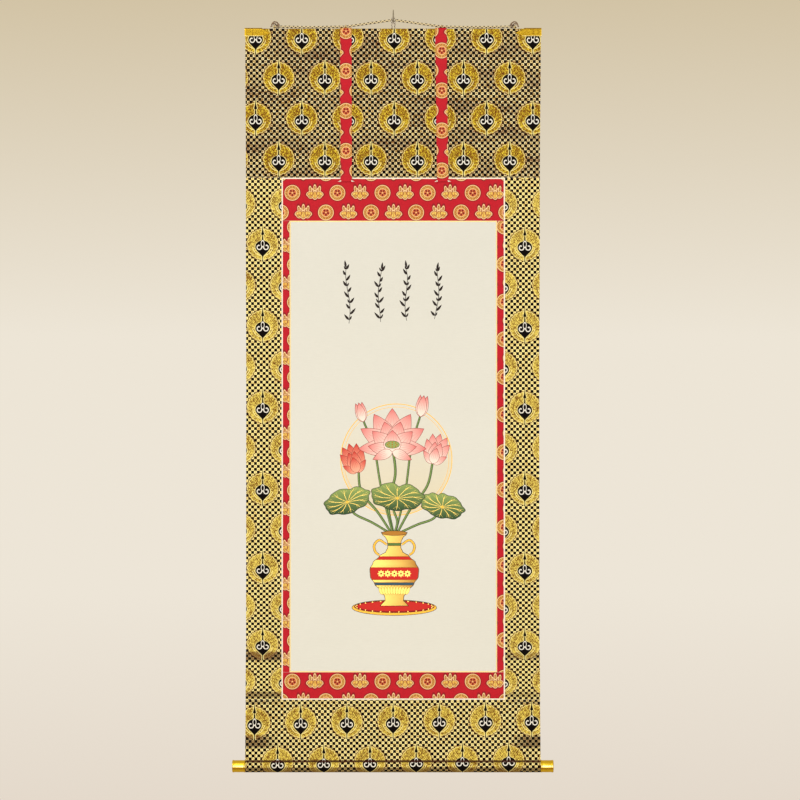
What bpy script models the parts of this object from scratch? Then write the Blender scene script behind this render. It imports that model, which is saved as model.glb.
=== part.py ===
"""A Buddhist hanging scroll on its wall hook, as it hangs, in metres.

The origin is where the hook's shank meets the wall. The wall is the plane y = 0, the scroll
faces -Y and hangs down -Z. Every panel of the mounting is a piece of its own: the outer brocade
in four, a white edging, the red brocade in four, a gold edging and the picture. The top panel is
wrapped round the top rod and the bottom panel round the roller.
"""

import math

import bmesh
import bpy
from mathutils import Vector

GAP = 0.0003

# The cloth. Each piece is backed with paper, and hangs in one plane, a little uneven.
CLOTH_THICK = 0.0016
STRIP_THICK = 0.0012
STRIP_CLEAR = 0.0005
ROW_PITCH = 0.032
COLUMN_PITCH = 0.060

# The line that the scroll hangs from, seen from the side.
HANG_Y = -0.0185
CLOTH_TOP_Z = -0.0138

# The top rod, nearly square in front and rounded behind.
ROD_FRONT_Y = -0.0230
ROD_BACK_Y = -0.0130
ROD_HIGH = 0.0136
ROD_FRONT_RADIUS = 0.0008
ROD_BACK_RADIUS = 0.0038
ROD_LEFT_X = -0.2953
ROD_RIGHT_X = 0.2943
ROD_TOP_Z = CLOTH_TOP_Z - CLOTH_THICK - GAP
ROD_BOTTOM_Z = ROD_TOP_Z - ROD_HIGH
SHEET_Y = ROD_FRONT_Y - GAP - CLOTH_THICK / 2

# The roller in the bottom hem, and its gilt knobs.
ROLLER_Z = -1.4898
ROLLER_RADIUS = 0.0103
ROLLER_LEFT_X = -0.2960
ROLLER_RIGHT_X = 0.2943
CREASE_RADIUS = 0.003
HEM_END_DEG = 338
TENON_RADIUS = 0.005
TENON_LONG = 0.014
KNOB_LONG = 0.0260
KNOB_RADIUS = 0.0120
KNOB_BEAD = 0.0004
ROUND_SIDES = 24

# The frames round the picture: half width, top and bottom of each edge.
WHITE_EDGE = (0.2234, -0.3122, -1.3562)
RED_EDGE = (0.2210, -0.3146, -1.3538)
GOLD_EDGE = (0.2074, -0.3984, -1.3012)
PICTURE_EDGE = (0.2050, -0.4008, -1.2988)

# Outer edges of the mounting, which draws in a little at its waist: z, left x, right x.
OUTLINE = (
    (-0.0138, -0.2960, 0.2950),
    (-0.3122, -0.2948, 0.2932),
    (-0.7600, -0.2942, 0.2920),
    (-1.2000, -0.2944, 0.2922),
    (-1.3562, -0.2954, 0.2936),
    (-1.4770, -0.2962, 0.2945),
)

# Soft waves across the cloth: centre z, half height, depth at the sides, depth in the middle.
# A depth above nothing leans back to the wall.
WAVES = (
    (-0.190, 0.060, -0.0009, -0.0004),
    (-0.362, 0.044, 0.0024, 0.0007),
    (-0.520, 0.075, -0.0016, -0.0006),
    (-0.760, 0.120, 0.0022, 0.0012),
    (-1.060, 0.110, 0.0014, -0.0008),
    (-1.290, 0.055, -0.0012, -0.0005),
    (-1.372, 0.036, 0.0021, 0.0008),
)

# Near the rod and the roller the cloth is held flat: where each hold ends, and over what height.
HELD_ABOVE = (-0.035, 0.080)
HELD_BELOW = (-1.462, 0.060)

# The two hanging strips: centre x. They are turned in over the rod's front edge, in front of the
# rings, and their lower ends swing a little forward.
STRIP_CENTRES = {"left": -0.0945, "right": 0.0970}
STRIP_WIDE = 0.0230
STRIP_HEM_Y = -0.0219
STRIP_END_Z = -0.3198
STRIP_SWING = 0.0014
TUFT_LONG = 0.0062
TUFT_RADIUS = 0.0013
TUFT_ROOT_RADIUS = 0.0006

# Gilt caps on the ends of the top rod, each with a cusped point on its front.
CAP_LONG = 0.0345
CAP_THICK = 0.0011
CAP_BOTTOM_Z = -0.0292
CAP_INSIDE = GAP + CLOTH_THICK + GAP
CAP_POINT_LONG = 0.0188
CAP_POINT_SINK = 0.0010
CAP_POINT_SKIN = 0.0001

# The outline of a cap's point: share of its length, share of its half height.
CAP_POINT = (
    (0.00, 1.00),
    (0.12, 0.96),
    (0.24, 0.84),
    (0.33, 0.66),
    (0.37, 0.50),
    (0.46, 0.55),
    (0.58, 0.52),
    (0.69, 0.42),
    (0.76, 0.28),
    (0.80, 0.19),
    (0.90, 0.10),
    (1.00, 0.00),
)

# Ring staples on the top rod, the hanging cord through them, and its knots.
RING_XS = (-0.2376, -0.0950, 0.0970, 0.2434)
RING_RADIUS = 0.0034
RING_WIRE = 0.0006
RING_STEPS = (18, 8)
RING_FOOT = (0.0022, 0.0044, 0.0010)
RING_Z = CLOTH_TOP_Z + GAP + RING_RADIUS + RING_WIRE
CORD_RADIUS = 0.0023
KNOT_RADIUS = 0.0013
KNOT_PINCHED_RADIUS = 0.0006
KNOT_CLEAR = 0.0004
KNOT_TURNS = 2
KNOT_PITCH = 0.0031

# A knot's loop over its ring and its free end, from the ring's centre: x outwards, y, z.
KNOT_LOOP = (
    (-0.0066, -0.0004, 0.0066),
    (-0.0034, -0.0008, 0.0090),
    (0.0002, -0.0012, 0.0096),
    (0.0034, -0.0014, 0.0076),
    (0.0054, -0.0014, 0.0042),
    (0.0060, -0.0014, 0.0012),
    (0.0078, -0.0012, -0.0008),
)

# The hanging cord's route, x and z: level through the left rings, over the hook, and down again.
CORD_ROUTE = (
    (-0.2412, -0.0095),
    (-0.2376, -0.0095),
    (-0.2260, -0.0095),
    (-0.2040, -0.0099),
    (-0.1740, -0.0105),
    (-0.1440, -0.0104),
    (-0.1180, -0.0098),
    (-0.1010, -0.0096),
    (-0.0950, -0.0094),
    (-0.0890, -0.0087),
    (-0.0780, -0.0071),
    (-0.0500, -0.0031),
    (-0.0220, 0.0009),
    (-0.0060, 0.0032),
    (0.0000, 0.0041),
    (0.0060, 0.0032),
    (0.0220, 0.0010),
    (0.0500, -0.0029),
    (0.0780, -0.0068),
    (0.0910, -0.0087),
    (0.0970, -0.0094),
    (0.1030, -0.0096),
    (0.1200, -0.0098),
    (0.1460, -0.0104),
    (0.1760, -0.0105),
    (0.2080, -0.0099),
    (0.2310, -0.0095),
    (0.2434, -0.0095),
    (0.2470, -0.0095),
)

# The tie cord, hitched on the hanging cord astride the hook, with one tail behind the cloth.
TIE_RADIUS = 0.0011
TIE_CLEAR = 0.0006
TIE_ASTRIDE = 0.0031
TIE_OVER_Z = 0.0038
TIE_TAIL_Z = -1.185

# The hook, a bent nail.
HOOK_RADIUS = 0.0015
HOOK_TIP_RADIUS = 0.0009
HOOK_REACH = 0.0240
HOOK_BEND = 0.0030
HOOK_TIP_Z = 0.0236
HOOK_TAPER_Z = 0.0165

MATERIALS = {
    "outer_brocade": ((0.46, 0.34, 0.11, 1), 0.55, 0.25),
    "red_brocade": ((0.62, 0.015, 0.03, 1), 0.60, 0.0),
    "picture_silk": ((0.84, 0.80, 0.68, 1), 0.75, 0.0),
    "white_edging": ((0.88, 0.84, 0.78, 1), 0.70, 0.0),
    "gold_edging": ((0.83, 0.60, 0.20, 1), 0.45, 0.4),
    "gilt_metal": ((0.86, 0.56, 0.12, 1), 0.28, 1.0),
    "rod_wood": ((0.42, 0.27, 0.14, 1), 0.65, 0.0),
    "braided_cord": ((0.40, 0.31, 0.20, 1), 0.80, 0.0),
    "hook_iron": ((0.10, 0.08, 0.06, 1), 0.50, 0.8),
    "white_silk": ((0.90, 0.87, 0.82, 1), 0.70, 0.0),
}


def clear_scene():
    for obj in list(bpy.data.objects):
        bpy.data.objects.remove(obj)


def make_materials():
    made = {}
    for name, (colour, roughness, metallic) in MATERIALS.items():
        material = bpy.data.materials.new(name)
        material.use_nodes = True
        shader = material.node_tree.nodes["Principled BSDF"]
        shader.inputs["Base Color"].default_value = colour
        shader.inputs["Roughness"].default_value = roughness
        shader.inputs["Metallic"].default_value = metallic
        made[name] = material
    return made


def place(name, data, material):
    obj = bpy.data.objects.new(name, data)
    bpy.context.scene.collection.objects.link(obj)
    data.materials.append(material)
    return obj


def solid(name, points, faces, material, smooth_deg=None):
    """A closed mesh from points and faces, with its faces turned outwards."""
    mesh = bpy.data.meshes.new(name)
    mesh.from_pydata([tuple(p) for p in points], [], faces)
    shape = bmesh.new()
    shape.from_mesh(mesh)
    bmesh.ops.recalc_face_normals(shape, faces=shape.faces)
    shape.to_mesh(mesh)
    shape.free()
    if smooth_deg is not None:
        mesh.shade_smooth()
        mesh.set_sharp_from_angle(angle=math.radians(smooth_deg))
    return place(name, mesh, material)


def union(base, other):
    """Joins other into base with a Boolean, and leaves other out as a cutter."""
    join = base.modifiers.new("join " + other.name, "BOOLEAN")
    join.operation = "UNION"
    join.object = other
    other.hide_render = True
    other.display_type = "WIRE"
    return base


def between(a, b, share):
    return a + (b - a) * share


def smooth_step(share):
    share = min(1.0, max(0.0, share))
    return share * share * (3 - 2 * share)


def arc(centre_y, centre_z, radius, start_deg, end_deg, steps):
    """Points (y, z) on an arc. Angles run from +Y towards +Z."""
    points = []
    for i in range(steps + 1):
        angle = math.radians(between(start_deg, end_deg, i / steps))
        points.append((centre_y + radius * math.cos(angle), centre_z + radius * math.sin(angle)))
    return points


def offset(points, distance):
    """A section moved to the right of its own direction, which is its outer face."""
    moved = []
    for i, (y, z) in enumerate(points):
        before = Vector(points[max(i - 1, 0)])
        here = Vector((y, z))
        after = Vector(points[min(i + 1, len(points) - 1)])
        into = (here - before).normalized() if i else (after - here).normalized()
        out = (after - here).normalized() if i < len(points) - 1 else into
        along = (into + out).normalized()
        mitre = max(0.5, along.dot(out))
        moved.append((y + along.y * distance / mitre, z - along.x * distance / mitre))
    return moved


def rows(top, bottom):
    """Heights from top to bottom, on lines that every panel shares."""
    nearest = ROW_PITCH / 4
    heights = [top]
    line = math.floor(top / ROW_PITCH) * ROW_PITCH
    while line > bottom + nearest:
        if line < top - nearest:
            heights.append(line)
        line -= ROW_PITCH
    heights.append(bottom)
    return heights


def outline(z):
    """Left and right x of the mounting's outer edges at a height."""
    above = OUTLINE[0]
    for below in OUTLINE[1:]:
        if z >= below[0] or below is OUTLINE[-1]:
            share = smooth_step((above[0] - z) / (above[0] - below[0]))
            return between(above[1], below[1], share), between(above[2], below[2], share)
        above = below


def wave(x, z):
    """How far the hanging cloth leans back at a point."""
    held_above = smooth_step((HELD_ABOVE[0] - z) / HELD_ABOVE[1])
    held_below = smooth_step((z - HELD_BELOW[0]) / HELD_BELOW[1])
    side = min(1.0, abs(x) / OUTLINE[0][2]) ** 2
    lean = 0.0
    for centre, half_height, at_sides, in_middle in WAVES:
        lean += between(in_middle, at_sides, side) * math.exp(-(((z - centre) / half_height) ** 2))
    return lean * held_above * held_below


def cloth(name, section, edges, thick, material, swing=None):
    """A sheet of cloth along a section (y, z), between edges(z), as one closed solid."""
    outer = offset(section, thick / 2)
    inner = offset(section, -thick / 2)
    widest = max(edges(z)[1] - edges(z)[0] for _, z in section)
    columns = max(1, round(widest / COLUMN_PITCH))
    points = []
    for face in (outer, inner):
        for (y, z), (_, middle_z) in zip(face, section):
            left, right = edges(middle_z)
            for i in range(columns + 1):
                x = between(left, right, i / columns)
                lean = wave(x, middle_z) + (swing(middle_z) if swing else 0.0)
                points.append((x, y + lean, z))
    across = columns + 1
    sheet = across * len(section)
    faces = []
    for j in range(len(section) - 1):
        for i in range(columns):
            a = j * across + i
            quad = (a, a + 1, a + across + 1, a + across)
            faces.append(quad)
            faces.append(tuple(sheet + v for v in reversed(quad)))
    rim = list(range(across))
    rim += [j * across + columns for j in range(1, len(section))]
    rim += [(len(section) - 1) * across + i for i in range(columns - 1, -1, -1)]
    rim += [j * across for j in range(len(section) - 2, 0, -1)]
    for a, b in zip(rim, rim[1:] + rim[:1]):
        faces.append((b, a, sheet + a, sheet + b))
    return solid(name, points, faces, material)


def flat_section(top, bottom):
    return [(SHEET_Y, z) for z in rows(top, bottom)]


def round_front_edge(clear):
    """A section round the top rod's upper front edge, clear of the rod."""
    return arc(
        ROD_FRONT_Y + ROD_FRONT_RADIUS, ROD_TOP_Z - ROD_FRONT_RADIUS,
        ROD_FRONT_RADIUS + clear, 90, 180, 4,
    )


def over_rod(clear, back_steps):
    """A section up behind the top rod, over it and down to its front corner, clear of the rod."""
    points = arc(
        ROD_BACK_Y - ROD_BACK_RADIUS, ROD_TOP_Z - ROD_BACK_RADIUS,
        ROD_BACK_RADIUS + clear, 0, 90, back_steps,
    )
    return points + round_front_edge(clear)


def under_rod(clear, back_steps):
    """A section from under the top rod round its lower back corner."""
    return arc(
        ROD_BACK_Y - ROD_BACK_RADIUS, ROD_BOTTOM_Z + ROD_BACK_RADIUS,
        ROD_BACK_RADIUS + clear, -90, 0, back_steps,
    )


def make_top_panel(material):
    middle = GAP + CLOTH_THICK / 2
    hem_end_y = ROD_FRONT_Y + ROD_FRONT_RADIUS
    section = [(hem_end_y, ROD_BOTTOM_Z - middle)]
    section += under_rod(middle, 4) + over_rod(middle, 4)
    section += flat_section(section[-1][1], WHITE_EDGE[1] + GAP / 2)[1:]
    return cloth("top_panel", section, outline, CLOTH_THICK, material)


def make_bottom_panel(material):
    """The panel below the picture, down into a crease and then round the roller."""
    around = ROLLER_RADIUS + GAP + CLOTH_THICK / 2
    crease_y = SHEET_Y - CREASE_RADIUS
    forward = HANG_Y - crease_y
    crease_z = ROLLER_Z + math.sqrt((around + CREASE_RADIUS) ** 2 - forward**2)
    meets_deg = math.degrees(math.atan2(forward, crease_z - ROLLER_Z))
    section = flat_section(WHITE_EDGE[2] - GAP / 2, crease_z)
    section += arc(crease_y, crease_z, CREASE_RADIUS, 0, meets_deg - 90, 4)[1:]
    section += arc(HANG_Y, ROLLER_Z, around, 90 + meets_deg, 90 + HEM_END_DEG, 22)[1:]
    return cloth("bottom_panel", section, outline, CLOTH_THICK, material)


def make_side_panels(material):
    inner = WHITE_EDGE[0] + GAP / 2
    section = flat_section(WHITE_EDGE[1] - GAP / 2, WHITE_EDGE[2] + GAP / 2)
    cloth("side_panel_left", section, lambda z: (outline(z)[0], -inner), CLOTH_THICK, material)
    cloth("side_panel_right", section, lambda z: (inner, outline(z)[1]), CLOTH_THICK, material)


def make_frame(name, outer, inner, material):
    """Four flat lengths of cloth between two edges: top and bottom whole, the sides between."""
    half, high, low = outer
    hole, hole_high, hole_low = inner
    half -= GAP / 2
    hole += GAP / 2
    high -= GAP / 2
    low += GAP / 2
    top = flat_section(high, hole_high + GAP / 2)
    bottom = flat_section(hole_low - GAP / 2, low)
    side = flat_section(hole_high - GAP / 2, hole_low + GAP / 2)
    cloth(name + "_top", top, lambda z: (-half, half), CLOTH_THICK, material)
    cloth(name + "_bottom", bottom, lambda z: (-half, half), CLOTH_THICK, material)
    cloth(name + "_left", side, lambda z: (-half, -hole), CLOTH_THICK, material)
    cloth(name + "_right", side, lambda z: (hole, half), CLOTH_THICK, material)


def make_picture(material):
    half, high, low = PICTURE_EDGE
    half -= GAP / 2
    section = flat_section(high - GAP / 2, low + GAP / 2)
    cloth("picture", section, lambda z: (-half, half), CLOTH_THICK, material)


def strip_swing(z):
    """The strips lean forward towards their lower ends."""
    return -STRIP_SWING * smooth_step((ROD_BOTTOM_Z - z) / (ROD_BOTTOM_Z - STRIP_END_Z)) ** 2


def make_strips(material):
    """Two narrow strips, over the rod's front edge and down in front of the top panel."""
    middle = GAP + CLOTH_THICK + STRIP_CLEAR + STRIP_THICK / 2
    section = [(STRIP_HEM_Y, ROD_TOP_Z + middle)]
    section += round_front_edge(middle)
    front_y = section[-1][0]
    section += [(front_y, z) for z in rows(section[-1][1], STRIP_END_Z)[1:]]
    for side, centre in STRIP_CENTRES.items():
        edges = (centre - STRIP_WIDE / 2, centre + STRIP_WIDE / 2)
        cloth("strip_" + side, section, lambda z, e=edges: e, STRIP_THICK, material, strip_swing)


def lathe(name, profile, origin, axis, material, sides=ROUND_SIDES):
    """Turns a profile (along, radius) about an axis. Its first and last points are on the axis."""
    origin = Vector(origin)
    axis = Vector(axis).normalized()
    first = axis.orthogonal().normalized()
    second = axis.cross(first)
    points = [origin + axis * profile[0][0]]
    for along, radius in profile[1:-1]:
        for k in range(sides):
            turn = 2 * math.pi * k / sides
            points.append(
                origin + axis * along
                + first * (radius * math.cos(turn)) + second * (radius * math.sin(turn))
            )
    points.append(origin + axis * profile[-1][0])
    faces = []
    rings = len(profile) - 2
    for k in range(sides):
        after = (k + 1) % sides
        faces.append((0, 1 + k, 1 + after))
        for j in range(rings - 1):
            low = 1 + j * sides
            high = low + sides
            faces.append((low + k, high + k, high + after, low + after))
        last = 1 + (rings - 1) * sides
        faces.append((last + k, len(points) - 1, last + after))
    return solid(name, points, faces, material, smooth_deg=35)


def make_rod(material):
    """The top rod, one outline drawn along x."""
    outline_points = [(ROD_FRONT_Y, ROD_BOTTOM_Z)] + under_rod(0, 3) + over_rod(0, 3)
    return extrude("top_rod", outline_points, ROD_LEFT_X, ROD_RIGHT_X, material)


def extrude(name, section, start_x, end_x, material):
    """A closed section (y, z) drawn from one x to another."""
    count = len(section)
    points = [(x, y, z) for x in (start_x, end_x) for y, z in section]
    faces = [tuple(range(count)), tuple(range(2 * count - 1, count - 1, -1))]
    for i in range(count):
        j = (i + 1) % count
        faces.append((j, i, count + i, count + j))
    return solid(name, points, faces, material)


def make_roller(material):
    """The wooden roller, with a tenon at each end for its knob."""
    profile = [
        (ROLLER_LEFT_X - TENON_LONG, 0),
        (ROLLER_LEFT_X - TENON_LONG, TENON_RADIUS),
        (ROLLER_LEFT_X, TENON_RADIUS),
        (ROLLER_LEFT_X, ROLLER_RADIUS),
        (ROLLER_RIGHT_X, ROLLER_RADIUS),
        (ROLLER_RIGHT_X, TENON_RADIUS),
        (ROLLER_RIGHT_X + TENON_LONG, TENON_RADIUS),
        (ROLLER_RIGHT_X + TENON_LONG, 0),
    ]
    return lathe("roller", profile, (0, HANG_Y, ROLLER_Z), (1, 0, 0), material)


def make_knobs(material):
    """Gilt knobs, bored for the roller's tenons, with a bead at each end of the barrel."""
    bore = TENON_RADIUS + GAP
    bead = KNOB_RADIUS + KNOB_BEAD
    profile = [
        (TENON_LONG + GAP, 0),
        (TENON_LONG + GAP, bore),
        (0, bore),
        (0, KNOB_RADIUS),
        (0.0008, bead),
        (0.0022, bead),
        (0.0030, KNOB_RADIUS),
        (KNOB_LONG - 0.0052, KNOB_RADIUS),
        (KNOB_LONG - 0.0044, bead),
        (KNOB_LONG - 0.0012, bead),
        (KNOB_LONG - 0.0003, KNOB_RADIUS - 0.0006),
        (KNOB_LONG, KNOB_RADIUS - 0.0018),
        (KNOB_LONG, 0),
    ]
    left = outline(ROLLER_Z)[0] - GAP
    right = outline(ROLLER_Z)[1] + GAP
    lathe("knob_left", profile, (left, HANG_Y, ROLLER_Z), (-1, 0, 0), material)
    lathe("knob_right", profile, (right, HANG_Y, ROLLER_Z), (1, 0, 0), material)


def make_cap_point(name, base_x, sign, material):
    """The cusped point of a cap, a flat plate on its front that starts inside the cap."""
    top = ROD_TOP_Z - ROD_FRONT_RADIUS
    middle_z = (top + CAP_BOTTOM_Z) / 2
    half_high = (top - CAP_BOTTOM_Z) / 2
    upper = [(-CAP_POINT_SINK, half_high)]
    upper += [(CAP_POINT_LONG * along, half_high * high) for along, high in CAP_POINT]
    lower = [(along, -high) for along, high in reversed(upper[:-1])]
    front_y = ROD_FRONT_Y - CAP_INSIDE - CAP_THICK + CAP_POINT_SKIN
    back_y = ROD_FRONT_Y - CAP_INSIDE - CAP_POINT_SKIN
    rim = upper + lower
    count = len(rim)
    points = [(base_x - sign * a, y, middle_z + h) for y in (front_y, back_y) for a, h in rim]
    faces = [tuple(range(count)), tuple(range(2 * count - 1, count - 1, -1))]
    for i in range(count):
        j = (i + 1) % count
        faces.append((j, i, count + i, count + j))
    return solid(name, points, faces, material)


def make_caps(material):
    """Gilt caps: a plate bent round the wrapped rod, closed at its outer end."""
    plate = []
    for clear in (CAP_INSIDE, CAP_INSIDE + CAP_THICK):
        path = [(ROD_BACK_Y + clear, ROD_BOTTOM_Z)] + over_rod(clear, 4)
        path.append((ROD_FRONT_Y - clear, CAP_BOTTOM_Z))
        plate.append(path)
    shell = plate[1] + plate[0][::-1]
    end_plate = plate[1]
    for side, sign in (("left", -1), ("right", 1)):
        edge = outline(CLOTH_TOP_Z)[0 if sign < 0 else 1]
        inner_x = edge - sign * (CAP_LONG - CAP_THICK)
        seat_x = edge + sign * GAP
        outer_x = seat_x + sign * CAP_THICK
        overlap_x = seat_x + sign * CAP_THICK / 2
        cap = extrude("cap_" + side, shell, inner_x, overlap_x, material)
        end = extrude("cap_end_" + side, end_plate, seat_x, outer_x, material)
        union(cap, end)
        union(cap, make_cap_point("cap_point_" + side, inner_x, sign, material))


def make_rings(material):
    """Ring staples for the cord: a round eye standing on a small foot."""
    major_steps, minor_steps = RING_STEPS
    wide, deep, high = RING_FOOT
    for number, x in enumerate(RING_XS, 1):
        points = []
        for a in range(major_steps):
            turn = 2 * math.pi * a / major_steps
            for b in range(minor_steps):
                roll = 2 * math.pi * b / minor_steps
                reach = RING_RADIUS + RING_WIRE * math.cos(roll)
                points.append((
                    x + RING_WIRE * math.sin(roll),
                    HANG_Y + reach * math.sin(turn),
                    RING_Z + reach * math.cos(turn),
                ))
        faces = []
        for a in range(major_steps):
            for b in range(minor_steps):
                a2, b2 = (a + 1) % major_steps, (b + 1) % minor_steps
                faces.append((
                    a * minor_steps + b, a * minor_steps + b2,
                    a2 * minor_steps + b2, a2 * minor_steps + b,
                ))
        eye = solid("ring_%d" % number, points, faces, material, smooth_deg=50)
        foot_low = CLOTH_TOP_Z + GAP
        section = [
            (HANG_Y - deep / 2, foot_low), (HANG_Y + deep / 2, foot_low),
            (HANG_Y + deep / 2, foot_low + high), (HANG_Y - deep / 2, foot_low + high),
        ]
        union(eye, extrude("ring_foot_%d" % number, section, x - wide / 2, x + wide / 2, material))


def smooth_route(route, per_span):
    """Points on a smooth curve through a route's own points."""
    points = [Vector(p) for p in route]
    ends = [points[0] * 2 - points[1]] + points + [points[-1] * 2 - points[-2]]
    found = []
    for i in range(1, len(ends) - 2):
        before, a, b, after = ends[i - 1:i + 3]
        for k in range(per_span):
            t = k / per_span
            found.append(0.5 * (
                2 * a + (b - before) * t + (2 * before - 5 * a + 4 * b - after) * t**2
                + (3 * a - before - 3 * b + after) * t**3
            ))
    return found + [points[-1]]


def tube(name, points, radius, material, resolution=2, radii=None):
    """A round cord or wire along points, as a curve with filled ends."""
    curve = bpy.data.curves.new(name, "CURVE")
    curve.dimensions = "3D"
    curve.bevel_depth = radius
    curve.bevel_resolution = resolution
    curve.use_fill_caps = True
    spline = curve.splines.new("POLY")
    spline.points.add(len(points) - 1)
    for i, (point, p) in enumerate(zip(spline.points, points)):
        point.co = (*p, 1)
        point.radius = radii[i] / radius if radii else 1.0
    return place(name, curve, material)


def make_hanging_cord(material):
    points = smooth_route([(x, HANG_Y, z) for x, z in CORD_ROUTE], 2)
    tube("hanging_cord", points, CORD_RADIUS, material)


def make_knots(material):
    """The cord's tied ends: two turns inside the outer ring, a loop over it and a free end.

    The turns are pinched where they pass between the cord and the top of the cloth.
    """
    beside_ring = RING_FOOT[0] / 2 + GAP + KNOT_RADIUS
    for side, sign, ring_x in (("left", -1, -RING_XS[0]), ("right", 1, RING_XS[3])):
        first_x = ring_x - beside_ring
        last_x = first_x - KNOT_PITCH * KNOT_TURNS
        route = []
        steps = 8 * KNOT_TURNS
        for k in range(steps + 1):
            turn = 2 * math.pi * k / 8
            below = (1 - math.cos(turn)) / 2
            radius = between(KNOT_RADIUS, KNOT_PINCHED_RADIUS, below)
            reach = CORD_RADIUS + KNOT_CLEAR + radius
            x = between(first_x, last_x, k / steps)
            y = HANG_Y + reach * math.sin(turn)
            route.append((x, y, RING_Z + reach * math.cos(turn), radius))
        route += [(ring_x + x, HANG_Y + y, RING_Z + z, KNOT_RADIUS) for x, y, z in KNOT_LOOP]
        route = smooth_route(route, 2)
        points = [(sign * p[0], p[1], p[2]) for p in route]
        tube("knot_" + side, points, KNOT_RADIUS, material, radii=[p[3] for p in route])


def make_tie_cord(material):
    """A hitch over the hanging cord, its bight under the hook, and a tail hanging behind."""
    around = CORD_RADIUS + TIE_CLEAR + TIE_RADIUS
    behind_y = ROD_BACK_Y + GAP + CLOTH_THICK + GAP + TIE_RADIUS
    over = arc(HANG_Y, TIE_OVER_Z, around, 0, 180, 4)
    route = [
        (-0.0026, behind_y, -0.0210),
        (-0.0028, behind_y, -0.0130),
        (-TIE_ASTRIDE, HANG_Y + around + 0.0008, TIE_OVER_Z - 0.0060),
    ]
    route += [(-TIE_ASTRIDE, y, z) for y, z in over]
    route += [
        (-TIE_ASTRIDE + 0.0005, HANG_Y - around + 0.0004, TIE_OVER_Z - 0.0050),
        (0.0, HANG_Y - around + 0.0010, TIE_OVER_Z - 0.0082),
        (TIE_ASTRIDE - 0.0005, HANG_Y - around + 0.0004, TIE_OVER_Z - 0.0050),
    ]
    route += [(TIE_ASTRIDE, y, z) for y, z in reversed(over)]
    route += [
        (TIE_ASTRIDE, HANG_Y + around + 0.0008, TIE_OVER_Z - 0.0060),
        (0.0028, behind_y, -0.0130),
        (0.0026, behind_y, -0.0210),
        (0.0028, behind_y, -0.0400),
        (0.0060, behind_y, -0.1400),
        (0.0120, behind_y + 0.0006, -0.3000),
        (0.0150, behind_y + 0.0010, -0.5000),
        (0.0130, behind_y + 0.0006, -0.7400),
        (0.0165, behind_y, -0.9800),
        (0.0190, behind_y + 0.0004, TIE_TAIL_Z),
    ]
    tube("tie_cord", smooth_route(route, 3), TIE_RADIUS, material)


def make_hook(material):
    """A bent nail: a shank out of the wall, then straight up in front of the cord."""
    bend_y = -(HOOK_REACH - HOOK_BEND)
    points = [(0, 0, 0), (0, bend_y / 2, 0)]
    points += [(0, y, z) for y, z in arc(bend_y, HOOK_BEND, HOOK_BEND, 270, 180, 5)]
    points += [(0, -HOOK_REACH, HOOK_TAPER_Z), (0, -HOOK_REACH, HOOK_TIP_Z)]
    radii = [HOOK_RADIUS] * (len(points) - 1) + [HOOK_TIP_RADIUS]
    tube("hook", points, HOOK_RADIUS, material, resolution=4, radii=radii)


def make_tufts(material):
    """A small silk tuft at each lower corner of the two strips."""
    profile = [
        (0, 0), (0, TUFT_ROOT_RADIUS), (TUFT_LONG * 0.35, TUFT_RADIUS * 0.8),
        (TUFT_LONG * 0.8, TUFT_RADIUS), (TUFT_LONG, TUFT_RADIUS * 0.55), (TUFT_LONG, 0),
    ]
    y = SHEET_Y - CLOTH_THICK / 2 - STRIP_CLEAR - TUFT_RADIUS - STRIP_SWING
    for side, centre in STRIP_CENTRES.items():
        for corner, sign in (("left", -1), ("right", 1)):
            x = centre + sign * (STRIP_WIDE / 2 - 0.0004)
            root = (x, y + wave(x, STRIP_END_Z), STRIP_END_Z - GAP - TUFT_ROOT_RADIUS)
            name = "tuft_%s_strip_%s" % (side, corner)
            lathe(name, profile, root, (sign * 0.75, 0, -0.66), material, sides=8)


def main():
    clear_scene()
    looks = make_materials()
    make_hook(looks["hook_iron"])
    make_rod(looks["rod_wood"])
    make_roller(looks["rod_wood"])
    make_knobs(looks["gilt_metal"])
    make_caps(looks["gilt_metal"])
    make_rings(looks["gilt_metal"])
    make_top_panel(looks["outer_brocade"])
    make_side_panels(looks["outer_brocade"])
    make_bottom_panel(looks["outer_brocade"])
    make_frame("white_edging", WHITE_EDGE, RED_EDGE, looks["white_edging"])
    make_frame("red_band", RED_EDGE, GOLD_EDGE, looks["red_brocade"])
    make_frame("gold_edging", GOLD_EDGE, PICTURE_EDGE, looks["gold_edging"])
    make_picture(looks["picture_silk"])
    make_strips(looks["red_brocade"])
    make_tufts(looks["white_silk"])
    make_hanging_cord(looks["braided_cord"])
    make_knots(looks["braided_cord"])
    make_tie_cord(looks["braided_cord"])


main()
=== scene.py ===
"""The looks of a hanging scroll on its hook: brocades, painted silk, gilt fittings and cords.

Lengths are in metres, except in the patterns and the painting, which are laid out in millimetres.
"""

import math

import bpy
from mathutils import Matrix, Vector
from mathutils.geometry import delaunay_2d_cdt


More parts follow.
